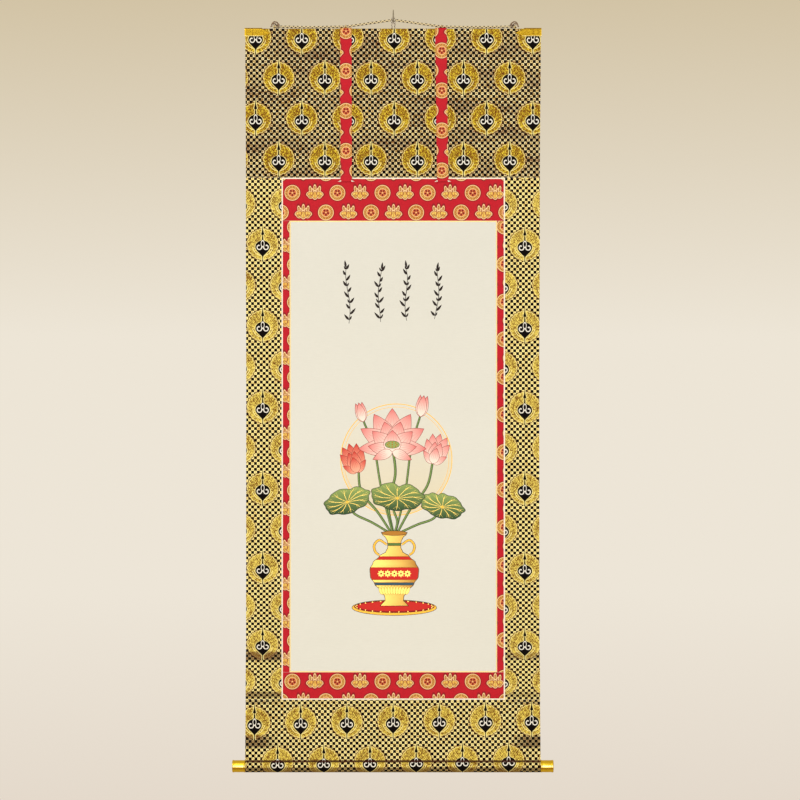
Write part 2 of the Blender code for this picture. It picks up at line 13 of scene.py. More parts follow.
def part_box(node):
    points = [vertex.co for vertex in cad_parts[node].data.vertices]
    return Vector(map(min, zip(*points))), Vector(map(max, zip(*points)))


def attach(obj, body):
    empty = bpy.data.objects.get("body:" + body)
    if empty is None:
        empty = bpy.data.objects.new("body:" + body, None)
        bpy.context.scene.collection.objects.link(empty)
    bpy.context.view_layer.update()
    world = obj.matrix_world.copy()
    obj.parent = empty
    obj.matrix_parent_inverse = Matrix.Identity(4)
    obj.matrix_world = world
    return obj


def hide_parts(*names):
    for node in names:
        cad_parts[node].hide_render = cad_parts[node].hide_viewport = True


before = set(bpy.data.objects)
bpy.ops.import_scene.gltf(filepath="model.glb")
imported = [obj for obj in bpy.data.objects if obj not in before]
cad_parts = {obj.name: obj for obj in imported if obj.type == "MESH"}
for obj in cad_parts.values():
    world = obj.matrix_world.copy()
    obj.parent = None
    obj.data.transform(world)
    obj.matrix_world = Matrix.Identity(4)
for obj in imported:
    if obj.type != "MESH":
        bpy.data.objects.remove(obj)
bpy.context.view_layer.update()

MM = 0.001
MM_PER_METRE = 1000

# Between one solid and the next.
GAP = 0.0003

# The cloth: the solids' thickness, the thickness that shows, and the pitch of the fine sheets.
CLOTH_THICK = 0.0016
STRIP_THICK = 0.0012
STRIP_CLEAR = 0.0005
SHEET_THICK = 0.0009
ROW_PITCH = 0.0075
COLUMN_PITCH = 0.0100

# The line that the scroll hangs from, the top rod and the roller.
HANG_Y = -0.0185
CLOTH_TOP_Z = -0.0138
ROD_FRONT_Y = -0.0230
ROD_BACK_Y = -0.0130
ROD_HIGH = 0.0136
ROD_FRONT_RADIUS = 0.0008
ROD_BACK_RADIUS = 0.0038
ROD_TOP_Z = CLOTH_TOP_Z - CLOTH_THICK - GAP
ROD_BOTTOM_Z = ROD_TOP_Z - ROD_HIGH
SHEET_Y = ROD_FRONT_Y - GAP - CLOTH_THICK / 2
ROLLER_Z = -1.4898
ROLLER_RADIUS = 0.0103

# The bottom panel: its bend above the roller, and how far round the roller its hem goes.
CREASE_RADIUS = 0.003
HEM_END_DEG = 338

# The frames round the picture: half width, top and bottom of each edge.
WHITE_EDGE = (0.2234, -0.3122, -1.3562)
RED_EDGE = (0.2210, -0.3146, -1.3538)
GOLD_EDGE = (0.2074, -0.3984, -1.3012)
PICTURE_EDGE = (0.2050, -0.4008, -1.2988)

# Outer edges of the mounting: z, left x, right x.
OUTLINE = (
    (-0.0138, -0.2960, 0.2950),
    (-0.3122, -0.2948, 0.2932),
    (-0.7600, -0.2942, 0.2920),
    (-1.2000, -0.2944, 0.2922),
    (-1.3562, -0.2954, 0.2936),
    (-1.4770, -0.2962, 0.2945),
)

# Soft waves across the cloth: centre z, half height, depth at the sides, depth in the middle.
WAVES = (
    (-0.190, 0.060, -0.0009, -0.0004),
    (-0.362, 0.044, 0.0024, 0.0007),
    (-0.520, 0.075, -0.0016, -0.0006),
    (-0.760, 0.120, 0.0022, 0.0012),
    (-1.060, 0.110, 0.0014, -0.0008),
    (-1.290, 0.055, -0.0012, -0.0005),
    (-1.372, 0.036, 0.0021, 0.0008),
)

# Where the cloth is held flat, above and below: the z where waves begin, and how soon they are full.
HELD_ABOVE = (-0.035, 0.080)
HELD_BELOW = (-1.462, 0.060)

# Marks left by rolling, soft ridges and troughs: centre z, half height, depth, slant over the width.
CREASES = (
    (-0.078, 0.012, 0.00110, 0.006),
    (-0.152, 0.014, -0.00100, -0.005),
    (-0.246, 0.018, 0.00080, 0.004),
    (-0.352, 0.014, 0.00095, -0.003),
    (-0.437, 0.020, -0.00060, 0.006),
    (-0.598, 0.024, 0.00055, -0.008),
    (-0.846, 0.026, -0.00055, 0.006),
    (-0.972, 0.022, 0.00045, 0.004),
    (-1.158, 0.021, -0.00065, -0.006),
    (-1.246, 0.016, 0.00070, 0.004),
    (-1.346, 0.013, -0.00100, 0.003),
    (-1.436, 0.012, 0.00095, -0.004),
)

# The two hanging strips.
STRIP_CENTRES = {"left": -0.0945, "right": 0.0970}
STRIP_WIDE = 0.0230
STRIP_LEAN = {"left": 0.0008, "right": 0.0036}
STRIP_HEM_Y = -0.0219
STRIP_END_Z = -0.3198
STRIP_SWING = 0.0014

# Rings, the hanging cord and its knots.
RING_XS = (-0.2376, -0.0950, 0.0970, 0.2434)
RING_RADIUS = 0.0034
RING_WIRE = 0.0006
RING_FOOT = (0.0022, 0.0044, 0.0010)
RING_Z = CLOTH_TOP_Z + GAP + RING_RADIUS + RING_WIRE
CORD_RADIUS = 0.0023
KNOT_RADIUS = 0.0013
KNOT_PINCHED_RADIUS = 0.0006
KNOT_CLEAR = 0.0004
KNOT_TURNS = 2
KNOT_PITCH = 0.0031
KNOT_LOOP = (
    (-0.0066, -0.0004, 0.0066),
    (-0.0034, -0.0008, 0.0090),
    (0.0002, -0.0012, 0.0096),
    (0.0034, -0.0014, 0.0076),
    (0.0054, -0.0014, 0.0042),
    (0.0060, -0.0014, 0.0012),
    (0.0078, -0.0012, -0.0008),
)
KNOT_BIGHT = (
    (0.0030, 0.0044),
    (0.0018, 0.0056),
    (0.0000, 0.0062),
    (-0.0016, 0.0054),
)
CORD_ROUTE = (
    (-0.2412, -0.0095),
    (-0.2376, -0.0095),
    (-0.2260, -0.0095),
    (-0.2040, -0.0099),
    (-0.1740, -0.0105),
    (-0.1440, -0.0104),
    (-0.1180, -0.0098),
    (-0.1010, -0.0096),
    (-0.0950, -0.0094),
    (-0.0890, -0.0087),
    (-0.0780, -0.0071),
    (-0.0500, -0.0031),
    (-0.0220, 0.0009),
    (-0.0060, 0.0032),
    (0.0000, 0.0041),
    (0.0060, 0.0032),
    (0.0220, 0.0010),
    (0.0500, -0.0029),
    (0.0780, -0.0068),
    (0.0910, -0.0087),
    (0.0970, -0.0094),
    (0.1030, -0.0096),
    (0.1200, -0.0098),
    (0.1460, -0.0104),
    (0.1760, -0.0105),
    (0.2080, -0.0099),
    (0.2310, -0.0095),
    (0.2434, -0.0095),
    (0.2470, -0.0095),
)

# The tie cord and the hook.
TIE_RADIUS = 0.0011
TIE_CLEAR = 0.0006
TIE_ASTRIDE = 0.0031
TIE_OVER_Z = 0.0038
TIE_TAIL_Z = -1.185
HOOK_RADIUS = 0.0015
HOOK_TIP_RADIUS = 0.0009
HOOK_REACH = 0.0240
HOOK_BEND = 0.0030
HOOK_TIP_Z = 0.0236
HOOK_TAPER_Z = 0.0070
HOOK_STEM_MM = (6, 10, 14, 16.5, 19, 21.5, 23)


def between(a, b, share):
    return a + (b - a) * share


def smooth_step(share):
    share = min(1.0, max(0.0, share))
    return share * share * (3 - 2 * share)


def circle(steps):
    """Cosine and sine at equal steps round one turn."""
    angles = [2 * math.pi * i / steps for i in range(steps)]
    return [(math.cos(angle), math.sin(angle)) for angle in angles]


def heading(turn_deg):
    """The direction that leans from upright by a turn, clockwise, and the one to its right."""
    angle = math.radians(turn_deg)
    return Vector((math.sin(angle), math.cos(angle))), Vector((math.cos(angle), -math.sin(angle)))


def rgb(red, green, blue):
    """A colour as a screen shows it, from 0 to 255, in the linear values that shaders take."""
    levels = []
    for level in (red / 255, green / 255, blue / 255):
        levels.append(level / 12.92 if level <= 0.04045 else ((level + 0.055) / 1.055) ** 2.4)
    return (*levels, 1.0)


class Term:
    """A value in a material's node tree. Sums of terms become Math nodes."""

    def __init__(self, graph, socket):
        self.graph = graph
        self.socket = socket

    def __add__(self, other):
        return self.graph.math("ADD", self, other)

    def __sub__(self, other):
        return self.graph.math("SUBTRACT", self, other)

    def __rsub__(self, other):
        return self.graph.math("SUBTRACT", other, self)

    def __mul__(self, other):
        return self.graph.math("MULTIPLY", self, other)

    def __truediv__(self, other):
        return self.graph.math("DIVIDE", self, other)

    def __abs__(self):
        return self.graph.math("ABSOLUTE", self)

    __radd__ = __add__
    __rmul__ = __mul__


class Graph:
    """A material and its node tree."""

    def __init__(self, name):
        self.material = bpy.data.materials.new(name)
        self.material.use_nodes = True
        self.tree = self.material.node_tree
        self.shader = self.tree.nodes["Principled BSDF"]

    def add(self, kind, **settings):
        node = self.tree.nodes.new(kind)
        for key, value in settings.items():
            setattr(node, key, value)
        return node

    def put(self, socket, value):
        if isinstance(value, Term):
            self.tree.links.new(value.socket, socket)
        else:
            socket.default_value = value

    def surface(self, **values):
        """Sets the shader's own inputs, by name, with spaces for underscores."""
        for name, value in values.items():
            self.put(self.shader.inputs[name.replace("_", " ")], value)

    def math(self, operation, *values, clamp=False):
        node = self.add("ShaderNodeMath", operation=operation, use_clamp=clamp)
        for socket, value in zip(node.inputs, values):
            self.put(socket, value)
        return Term(self, node.outputs[0])

    def sine(self, value):
        return self.math("SINE", value)

    def fract(self, value):
        return self.math("FRACT", value)

    def nearest(self, value):
        return self.math("ROUND", value)

    def odd(self, value):
        """1 where a whole number is odd, 0 where it is even."""
        return self.math("FLOORED_MODULO", value, 2.0)

    def weave(self, x, y, x_rate, y_rate):
        """Threads that cross, with so many radians to the millimetre each way."""
        return self.sine(x * x_rate) * self.sine(y * y_rate)

    def least(self, *values):
        found = values[0]
        for value in values[1:]:
            found = self.math("MINIMUM", found, value)
        return found

    def most(self, *values):
        found = values[0]
        for value in values[1:]:
            found = self.math("MAXIMUM", found, value)
        return found

    def hypot(self, x, y):
        return self.math("SQRT", self.math("MULTIPLY_ADD", x, x, y * y))

    def inside(self, distance, soft=0.5):
        """1 where a distance is below nought, 0 where it is above, with a soft edge."""
        return self.math("MULTIPLY_ADD", distance, -1 / soft, 0.5, clamp=True)

    def line(self, distance, half_wide, soft=0.5):
        return self.inside(abs(distance) - half_wide, soft)

    def contrast(self, value, gain):
        """A value from 0 to 1 pushed away from its middle."""
        return self.math("MULTIPLY_ADD", value, gain, 0.5 - gain / 2, clamp=True)

    def mix(self, share, first, second):
        node = self.add("ShaderNodeMix", data_type="RGBA")
        self.put(node.inputs[0], share)
        self.put(node.inputs[6], first)
        self.put(node.inputs[7], second)
        return Term(self, node.outputs[2])

    def profile(self, value, points):
        """A smooth curve through points (value, height), read at a value."""
        low, high = points[0][0], points[-1][0]
        top = max(height for _, height in points)
        node = self.add("ShaderNodeFloatCurve")
        curve = node.mapping.curves[0]
        for i, (at, height) in enumerate(points):
            share = (at - low) / (high - low)
            if i < 2:
                curve.points[i].location = (share, height / top)
            else:
                curve.points.new(share, height / top)
        node.mapping.update()
        self.put(node.inputs["Value"], (value - low) / (high - low))
        return Term(self, node.outputs[0]) * top

    def place_in(self, socket, parts):
        """The first parts of a vector in metres, turned to millimetres."""
        split = self.add("ShaderNodeSeparateXYZ")
        self.tree.links.new(socket, split.inputs[0])
        return [Term(self, part) * MM_PER_METRE for part in split.outputs[:parts]]

    def cloth_place(self):
        """Place on the cloth in millimetres, across and along."""
        return self.place_in(self.add("ShaderNodeUVMap", uv_map="cloth").outputs[0], 2)

    def own_place(self):
        """Place in the object's own coordinates, in millimetres."""
        return self.place_in(self.add("ShaderNodeTexCoord").outputs["Object"], 3)

    def noise(self, scale, detail=2.0, coordinates=None, roughness=0.5):
        """Noise from 0 to 1, by default over the object's own coordinates in metres."""
        node = self.add("ShaderNodeTexNoise")
        if coordinates is None:
            place = self.add("ShaderNodeTexCoord")
            self.tree.links.new(place.outputs["Object"], node.inputs["Vector"])
        else:
            self.tree.links.new(coordinates.socket, node.inputs["Vector"])
        node.inputs["Scale"].default_value = scale
        node.inputs["Detail"].default_value = detail
        node.inputs["Roughness"].default_value = roughness
        return Term(self, node.outputs[0])

    def vector(self, x, y, z=0.0):
        node = self.add("ShaderNodeCombineXYZ")
        for socket, value in zip(node.inputs, (x, y, z)):
            self.put(socket, value)
        return Term(self, node.outputs[0])

    def bump(self, height, strength, distance=0.0003):
        node = self.add("ShaderNodeBump")
        node.inputs["Strength"].default_value = strength
        node.inputs["Distance"].default_value = distance
        self.put(node.inputs["Height"], height)
        self.surface(Normal=Term(self, node.outputs[0]))

    def scaled(self, colour, low, high, share):
        """A colour made darker or lighter by a share from 0 to 1."""
        node = self.add("ShaderNodeVectorMath", operation="SCALE")
        self.put(node.inputs[0], colour)
        self.put(node.inputs["Scale"], share * (high - low) + low)
        return Term(self, node.outputs[0])


# The outer brocade: roundels in staggered rows on a ground of small checks, in millimetres.
ROUNDEL_PITCH = (92.4, 81.4)
CHECK_PITCH = (ROUNDEL_PITCH[0] / 16, ROUNDEL_PITCH[1] / 14)
ROUNDEL_ORIGINS = {
    "top_panel": (1.8, -30.6),
    "side_panel_left": (-261.2, -444.8),
    "side_panel_right": (263.0, -446.0),
    "bottom_panel": (-0.4, -1398.6),
}

# Painted light: how much brighter than the top panel's each panel's metal thread is painted, from 0 to
# 1. The brocade is the same, lit brighter at the sides and foot.
PANEL_PAINTED_LIGHT = {
    "top_panel": 0.0,
    "side_panel_left": 1.0,
    "side_panel_right": 1.0,
    "bottom_panel": 0.8,
}

# Where the side panels' pattern begins to draw together towards the foot, and how fast.
GATHER_FROM = -934.8
GATHER = 0.000149

# How far the bottom panel's pattern climbs towards the right.
SLANT = 0.011

# Painted shade in the folds, along the cloth: centre, half width, strength, and where it begins either
# side.
FOLD_SHADES = {
    "top_panel": (),
    "side_panel_left": ((-1269.0, 9.0, 0.75, 0.0), (-1346.0, 6.0, 0.60, 0.0)),
    "side_panel_right": ((-1269.0, 7.0, 0.45, 0.0), (-1346.0, 6.0, 0.30, 0.0)),
    "bottom_panel": ((-1361.0, 3.0, 0.50, 240.0), (-1440.0, 12.0, 0.70, 246.0)),
}

# How softly the painted shade of the folds fades, across and at its ends.
FOLD_SHADE_SOFT = 5.0
FOLD_SHADE_END_SOFT = 30.0

# Painted shade in the crease above the roller and painted shade on the cloth under the roller, along
# the cloth: centre, half width.
ROLLER_CREASE_SHADE = (-1479.6, 2.5)
ROLLER_UNDER_SHADE = (-1512.5, 20.0)
UNDER_ROLLER_SHADE_SHARE = 0.60

# The brown dot in a gold check and the reach of a dark one, as shares of a check.
DOT_RADIUS = 0.20
SQUARE_REACH = 0.55

# A roundel: how far its centre lies under its cell's, its lobed edge, its stitches and its leaves.
ROUNDEL_DOWN = 0.6
WREATH_RADIUS = 31.4
WREATH_LOBES = 22
LOBE_HIGH = 1.5
STITCH_PITCH = (4.6, 2.9)
STITCH_RADIUS = 1.2

# Rows of leaves: radius, half height, how many, and how far the row is turned.
LEAF_ROWS = ((26.6, 5.2, 24, 0.0), (19.2, 5.0, 16, 0.5), (12.4, 4.6, 12, 0.0))
LEAF_SWIRL = 0.022

# The pale sepals round the bud's foot: radius, slant.
SEPALS = ((23.0, 0.12), (18.0, 0.30))

# The bud and its stems: height from the roundel's centre, half width.
BUD_PROFILE = (
    (-38.0, 0.0),
    (-36.0, 1.7),
    (-33.5, 1.0),
    (-26.0, 0.9),
    (-24.0, 1.9),
    (-20.0, 5.6),
    (-15.6, 9.8),
    (-11.0, 13.2),
    (-6.7, 14.7),
    (-2.0, 14.0),
    (2.0, 11.6),
    (5.0, 8.0),
    (7.0, 3.2),
    (9.0, 1.6),
    (13.0, 1.4),
    (17.5, 0.9),
    (19.0, 3.0),
    (24.0, 2.0),
    (29.0, 1.0),
    (34.0, 0.5),
    (35.0, 0.0),
)
BUD_REACH = 35.0

# The scrolls on the bud, the ball that ends each, and the drop between them, from the same centre.
SCROLL_CENTRE = (6.6, -6.6)
SCROLL_RADIUS = 4.5
SCROLL_HALF_WIDE = 0.95
SCROLL_OPEN = (7.6, -5.6)
BALL_CENTRE = (7.2, -3.0)
BALL_RADIUS = 1.3
DROP_CENTRE = 0.4
DROP_HALF = (3.1, 6.2)
DROP_LINE = 0.55

# The fineness of the thread's flecks, the turn of each weave in radians to the millimetre, and how
# far the thread stands out.
THREAD_SCALE = 900.0
OUTER_WEAVE = 6.6
RED_WEAVE = 8.4
SILK_WEAVE = 7.6
RIBBED_WEAVE = (7.2, 9.0)
THREAD_RISE = 0.00022
FINE_RISE = 0.0002

BLACK = rgb(8, 2, 1)
BROWN = rgb(96, 48, 10)
CREASE_SHADE_BROWN = rgb(58, 20, 10)
SHADE_BROWN = rgb(88, 36, 22)
GROUND_GOLD_SHADED = rgb(142, 96, 50)
GROUND_GOLD = rgb(224, 188, 108)
GROUND_GLINT_PALE = rgb(255, 246, 196)
GROUND_GLINT_YELLOW = rgb(255, 240, 164)
LEAF_GOLD = rgb(140, 94, 18)
LEAF_LIGHT = rgb(240, 212, 62)
LEAF_PALE = rgb(250, 236, 160)
SCROLL_WHITE = rgb(242, 238, 228)
CRIMSON = rgb(200, 4, 32)
CRIMSON_DARK = rgb(128, 6, 18)
MOTIF_GOLD = rgb(216, 134, 50)
MOTIF_AMBER = rgb(228, 170, 72)
MOTIF_LIGHT = rgb(232, 200, 102)
MOTIF_PALE = rgb(242, 206, 154)


def shade_under_roller(g, along):
    return g.line(along - ROLLER_UNDER_SHADE[0], ROLLER_UNDER_SHADE[1], 3.0)


def painted_fold_shade(g, name, across, along):
    """How much painted shade lies in the folds and under the roller, from 0 to 1, or None on a panel
    that has none.
    """
    folds = []
    for middle, half, strength, begins in FOLD_SHADES[name]:
        reached = g.inside(begins - abs(across), FOLD_SHADE_END_SOFT)
        folds.append(g.line(along - middle, half, FOLD_SHADE_SOFT) * reached * strength)
    # The cloth round the roller's underside gets painted shade as well.
    if name == "bottom_panel":
        folds.append(shade_under_roller(g, along) * UNDER_ROLLER_SHADE_SHARE)
    return g.most(*folds) if folds else None


def checked_ground(g, u, v, shine, lift, shade_mask):
    """Dark squares, and a brown dot in each gold one, flecked with painted glints of pale thread. The
    gold carries painted sheen and shade, and a panel's painted light.
    """
    a = u / CHECK_PITCH[0]
    b = v / CHECK_PITCH[1]
    in_a = g.fract(a) - 0.5
    in_b = g.fract(b) - 0.5
    odd = g.odd(g.math("FLOOR", a) + g.math("FLOOR", b))
    square = g.math("POWER", abs(in_a), 4.0) + g.math("POWER", abs(in_b), 4.0)
    reach = g.math("POWER", square, 0.25)
    field = g.mix(shine, GROUND_GOLD_SHADED, GROUND_GOLD)
    # Painted glints: pale flecks where the metal thread catches the light, stronger where the painted
    # sheen is.
    glint_speck = g.contrast(g.noise(280.0, 2.0) + 0.07 * lift, 4.5)
    field = g.mix(glint_speck * (shine * 0.5 + 0.5), field, g.mix(lift, GROUND_GLINT_PALE, GROUND_GLINT_YELLOW))
    # Painted shade: the gold field is browned in the folds and under the roller.
    if shade_mask:
        field = g.mix(shade_mask, field, SHADE_BROWN)
    dot = g.inside(g.hypot(in_a, in_b) - DOT_RADIUS, 0.12) * (0.85 - 0.30 * lift)
    seam = g.inside(0.455 + 0.025 * lift - g.most(abs(in_a), abs(in_b)), 0.03)
    dark = g.most(seam, g.inside(reach - SQUARE_REACH, 0.04) * odd)
    return g.mix(dark, g.mix(dot, field, BROWN), BLACK), dark


def leaf_veins(g, r, turn):
    """The outlines and ribs of the leaves in a roundel."""
    marks = []
    for middle, half, count, stagger in LEAF_ROWS:
        pitch = 2 * math.pi * middle / count
        swirl = turn + (r - middle) * LEAF_SWIRL
        lane = abs(g.fract(swirl * (count / (2 * math.pi)) + stagger) - 0.5)
        rise = (r - middle) / half
        bow = g.math("SQRT", g.most(1.0 - rise * rise, 0.0)) * 0.44
        in_row = g.line(r - middle, half * 0.98)
        rib = g.inside(lane * pitch - 0.42, 0.5) * g.inside(rise - 0.45, 0.3)
        marks.append(g.most(g.inside(abs(lane - bow) * pitch - 0.70, 0.6), rib) * in_row)
    return g.most(*marks)


def stitches(g, across, along):
    """Small dots in staggered rows."""
    row = g.nearest(along / STITCH_PITCH[1])
    x = (g.fract(across / STITCH_PITCH[0] + g.odd(row) * 0.5) - 0.5) * STITCH_PITCH[0]
    return g.inside(g.hypot(x, along - row * STITCH_PITCH[1]) - STITCH_RADIUS)


def roundel_figure(g, colour, side, y):
    """A dark bud on its stems, edged in pale thread, with white scrolls and a drop's outline on it."""
    bud = side - g.profile(y, BUD_PROFILE)
    inner = g.inside(abs(y) - BUD_REACH)
    shape = g.inside(bud) * inner
    colour = g.mix(g.line(bud - 0.8, 0.8) * inner * 0.75, colour, LEAF_PALE)
    colour = g.mix(shape, colour, BLACK)
    from_scroll = g.hypot(side - SCROLL_CENTRE[0], y - SCROLL_CENTRE[1])
    opening = g.inside(side - SCROLL_OPEN[0], 0.4) * g.inside(SCROLL_OPEN[1] - y, 0.4)
    scroll = g.line(from_scroll - SCROLL_RADIUS, SCROLL_HALF_WIDE) * (1.0 - opening)
    ball = g.inside(g.hypot(side - BALL_CENTRE[0], y - BALL_CENTRE[1]) - BALL_RADIUS)
    drop = g.hypot(side / DROP_HALF[0], (y - DROP_CENTRE) / DROP_HALF[1])
    white = g.most(scroll, ball, g.line((drop - 1.0) * DROP_HALF[0], DROP_LINE))
    return g.mix(white, colour, SCROLL_WHITE), shape, white


def outer_brocade(name):
    """The gold brocade of one of the four outer panels."""
    g = Graph(name)
    across, along = g.cloth_place()
    u = across - ROUNDEL_ORIGINS[name][0]
    v = along - ROUNDEL_ORIGINS[name][1]
    if name.startswith("side"):
        below = g.most(GATHER_FROM - along, 0.0)
        v = v - below * below * GATHER
    if name == "bottom_panel":
        v = v - across * SLANT
    # Painted light: this share paints the panel's gold, flecks and leaves lighter.
    lift = PANEL_PAINTED_LIGHT[name]
    patch = g.noise(42.0, 3.0)
    thread = g.noise(THREAD_SCALE, 1.0)
    # Painted sheen and shade: broad horizontal bands where the gold ground is painted lighter or
    # browner, as folds catch or lose the light.
    glint = g.noise(1.0, 3.0, g.vector(across * 0.004, along * 0.030))
    shine = g.contrast(glint * 0.8 + patch * 0.2 + (0.30 * lift - 0.02), 3.2)
    shade_mask = painted_fold_shade(g, name, across, along)
    colour, dark = checked_ground(g, u, v, shine, lift, shade_mask)

    # One roundel in each staggered cell.
    row = g.nearest(v / ROUNDEL_PITCH[1])
    shifted = u - g.odd(row) * (ROUNDEL_PITCH[0] / 2)
    x = shifted - g.nearest(shifted / ROUNDEL_PITCH[0]) * ROUNDEL_PITCH[0]
    y = v - row * ROUNDEL_PITCH[1]
    side = abs(x)
    r = g.hypot(x, y + ROUNDEL_DOWN)
    turn = g.math("ARCTAN2", side, y + ROUNDEL_DOWN)
    lobes = abs(g.sine(turn * (WREATH_LOBES / 2)))
    edge = r - (lobes * LOBE_HIGH + (WREATH_RADIUS - 1.1))
    wreath = g.inside(edge)
    sheen = g.contrast(patch * 0.2 + g.noise(320.0, 2.0) * 0.8 + 0.07 * lift, 7.0)
    leaf = g.mix(sheen, LEAF_GOLD, g.mix(0.30 * lift, LEAF_LIGHT, LEAF_PALE))
    veins = leaf_veins(g, r, turn)
    fleck = g.contrast(g.noise(150.0, 2.0), 3.5)
    leaf = g.mix(veins * (fleck * 0.40 + (0.50 - 0.10 * lift)), leaf, BROWN)
    leaf = g.mix(stitches(g, across, along) * (fleck * 0.6 + 0.2), leaf, BROWN)
    leaf = g.mix(g.line(edge + 1.1, 0.7) * 0.6, leaf, LEAF_PALE)
    for reach, slant in SEPALS:
        sepal = g.line(r - reach + (y + 24) * slant, 0.65) * g.inside(y + 7.0, 3.0)
        leaf = g.mix(sepal * 0.85, leaf, LEAF_PALE)
    # Painted shade on the leaves as well, in the folds and under the roller.
    if shade_mask:
        leaf = g.mix(shade_mask, leaf, SHADE_BROWN)
    colour = g.mix(wreath, colour, leaf)
    colour = g.mix(g.line(edge - 0.8, 0.7, 0.6) * 0.9, colour, BROWN)
    colour, bud, white = roundel_figure(g, colour, side, y)

    # Painted shade: a dark brown line in the crease above the roller, and the cloth darker round the
    # roller's underside.
    if name == "bottom_panel":
        crease_shade = g.line(along - ROLLER_CREASE_SHADE[0], ROLLER_CREASE_SHADE[1], 1.2)
        colour = g.mix(crease_shade * 0.9, colour, CREASE_SHADE_BROWN)
        colour = g.scaled(colour, 1.0, 0.85, shade_under_roller(g, along))

    # Metal thread glints in the gold, and every thread is a little raised.
    gold = 1.0 - g.most(dark * (1.0 - wreath), bud)
    weave = g.weave(across + along, across - along, OUTER_WEAVE, OUTER_WEAVE)
    colour = g.scaled(colour, 0.70, 1.22, patch * 0.3 + thread * 0.7)
    g.surface(
        Base_Color=colour,
        Roughness=0.62 - gold * 0.16 + thread * 0.10,
        Metallic=gold * 0.15,
        Specular_IOR_Level=0.06,
    )
    raised = gold * 1.1 + wreath * (1.0 - veins) * 0.8 + white
    g.bump(weave * 0.35 + raised, 0.35, THREAD_RISE)
    return g.material


# The red brocade: medallions and sprays by turns in staggered rows, in millimetres. For each piece
# the place of one medallion, how far the next row is shifted, and the height of a row.
MOTIF_WIDE = 45.1
MEDALLION_RADIUS = 15.6
BAND_LEAVES = 12
RED_ORIGINS = {
    "red_band_top": (-202.0, -342.4, 67.2, 39.3),
    "red_band_bottom": (-202.0, -1319.8, 67.2, 39.3),
    "red_band_left": (-162.9, -448.6, -33.7, 37.6),
    "red_band_right": (222.0, -409.8, 13.0, 37.6),
    "strip_left": (-94.6, -22.6, 22.8, 39.95),
    "strip_right": (97.0, -61.4, 67.6, 40.0),
}

# The leaves and buds of a spray: centre x, centre y, half width, half height, lean in degrees.
SPRAY = (
    (0.0, 9.6, 3.0, 7.2, 0),
    (9.0, 7.2, 2.9, 6.6, 8),
    (4.7, 4.0, 2.2, 5.6, 12),
    (0.0, -4.6, 6.2, 9.0, 0),
    (8.8, -2.2, 8.4, 5.6, 12),
    (9.0, -7.0, 5.2, 4.4, -30),
)


def medallion(g, x, y, r, patch):
    """A pale rim, a band of leaves and a five-petalled flower."""
    turn = g.math("ARCTAN2", x, y)
    band = abs(g.fract(turn * (BAND_LEAVES / (2 * math.pi)) + r * 0.03) - 0.5)
    leaves = g.line(band * 6.2 - 1.7, 0.75) * g.line(r - 11.2, 2.4)
    petal = (g.fract(turn * (5 / (2 * math.pi))) - 0.5) * (2 * math.pi / 5)
    petal_x = r * g.sine(petal)
    petal_y = r * g.math("COSINE", petal) - 4.6
    flower = g.inside(g.hypot(petal_x, petal_y * 0.85) - 2.05)
    rings = g.most(g.line(r - 14.9, 0.65), g.line(r - 8.4, 0.45))
    colour = g.mix(patch, MOTIF_GOLD, MOTIF_LIGHT)
    colour = g.mix(leaves * 0.9, colour, CRIMSON_DARK)
    colour = g.mix(g.inside(r - 7.8) * 0.55, colour, CRIMSON)
    colour = g.mix(flower, colour, CRIMSON_DARK)
    colour = g.mix(g.line(r - 13.9, 0.30) * 0.6, colour, CRIMSON_DARK)
    return g.mix(g.most(rings, g.inside(r - 1.1)), colour, MOTIF_PALE)


def spray(g, side, y, fleck):
    """Three buds over a fan of leaves: their colour, and the distance from their edge."""
    edges = []
    seams = []
    for centre_x, centre_y, half_wide, half_high, lean in SPRAY:
        cos_lean = math.cos(math.radians(lean))
        sin_lean = math.sin(math.radians(lean))
        from_x = side - centre_x
        from_y = y - centre_y
        local_x = (from_x * cos_lean - from_y * sin_lean) / half_wide
        local_y = (from_x * sin_lean + from_y * cos_lean) / half_high
        edge = (g.hypot(local_x, local_y) - 1.0) * min(half_wide, half_high)
        edges.append(edge)
        seams.append(g.line(edge + 1.5, 0.40))
        seams.append(g.line(local_x * half_wide, 0.32) * g.inside(edge + 1.9))
    outer_edge = g.least(*edges)
    colour = g.mix(g.contrast(fleck, 4.0), MOTIF_LIGHT, MOTIF_AMBER)
    colour = g.mix(g.most(*seams) * 0.95, colour, CRIMSON_DARK)
    return g.mix(g.line(outer_edge + 0.45, 0.6), colour, MOTIF_PALE), outer_edge


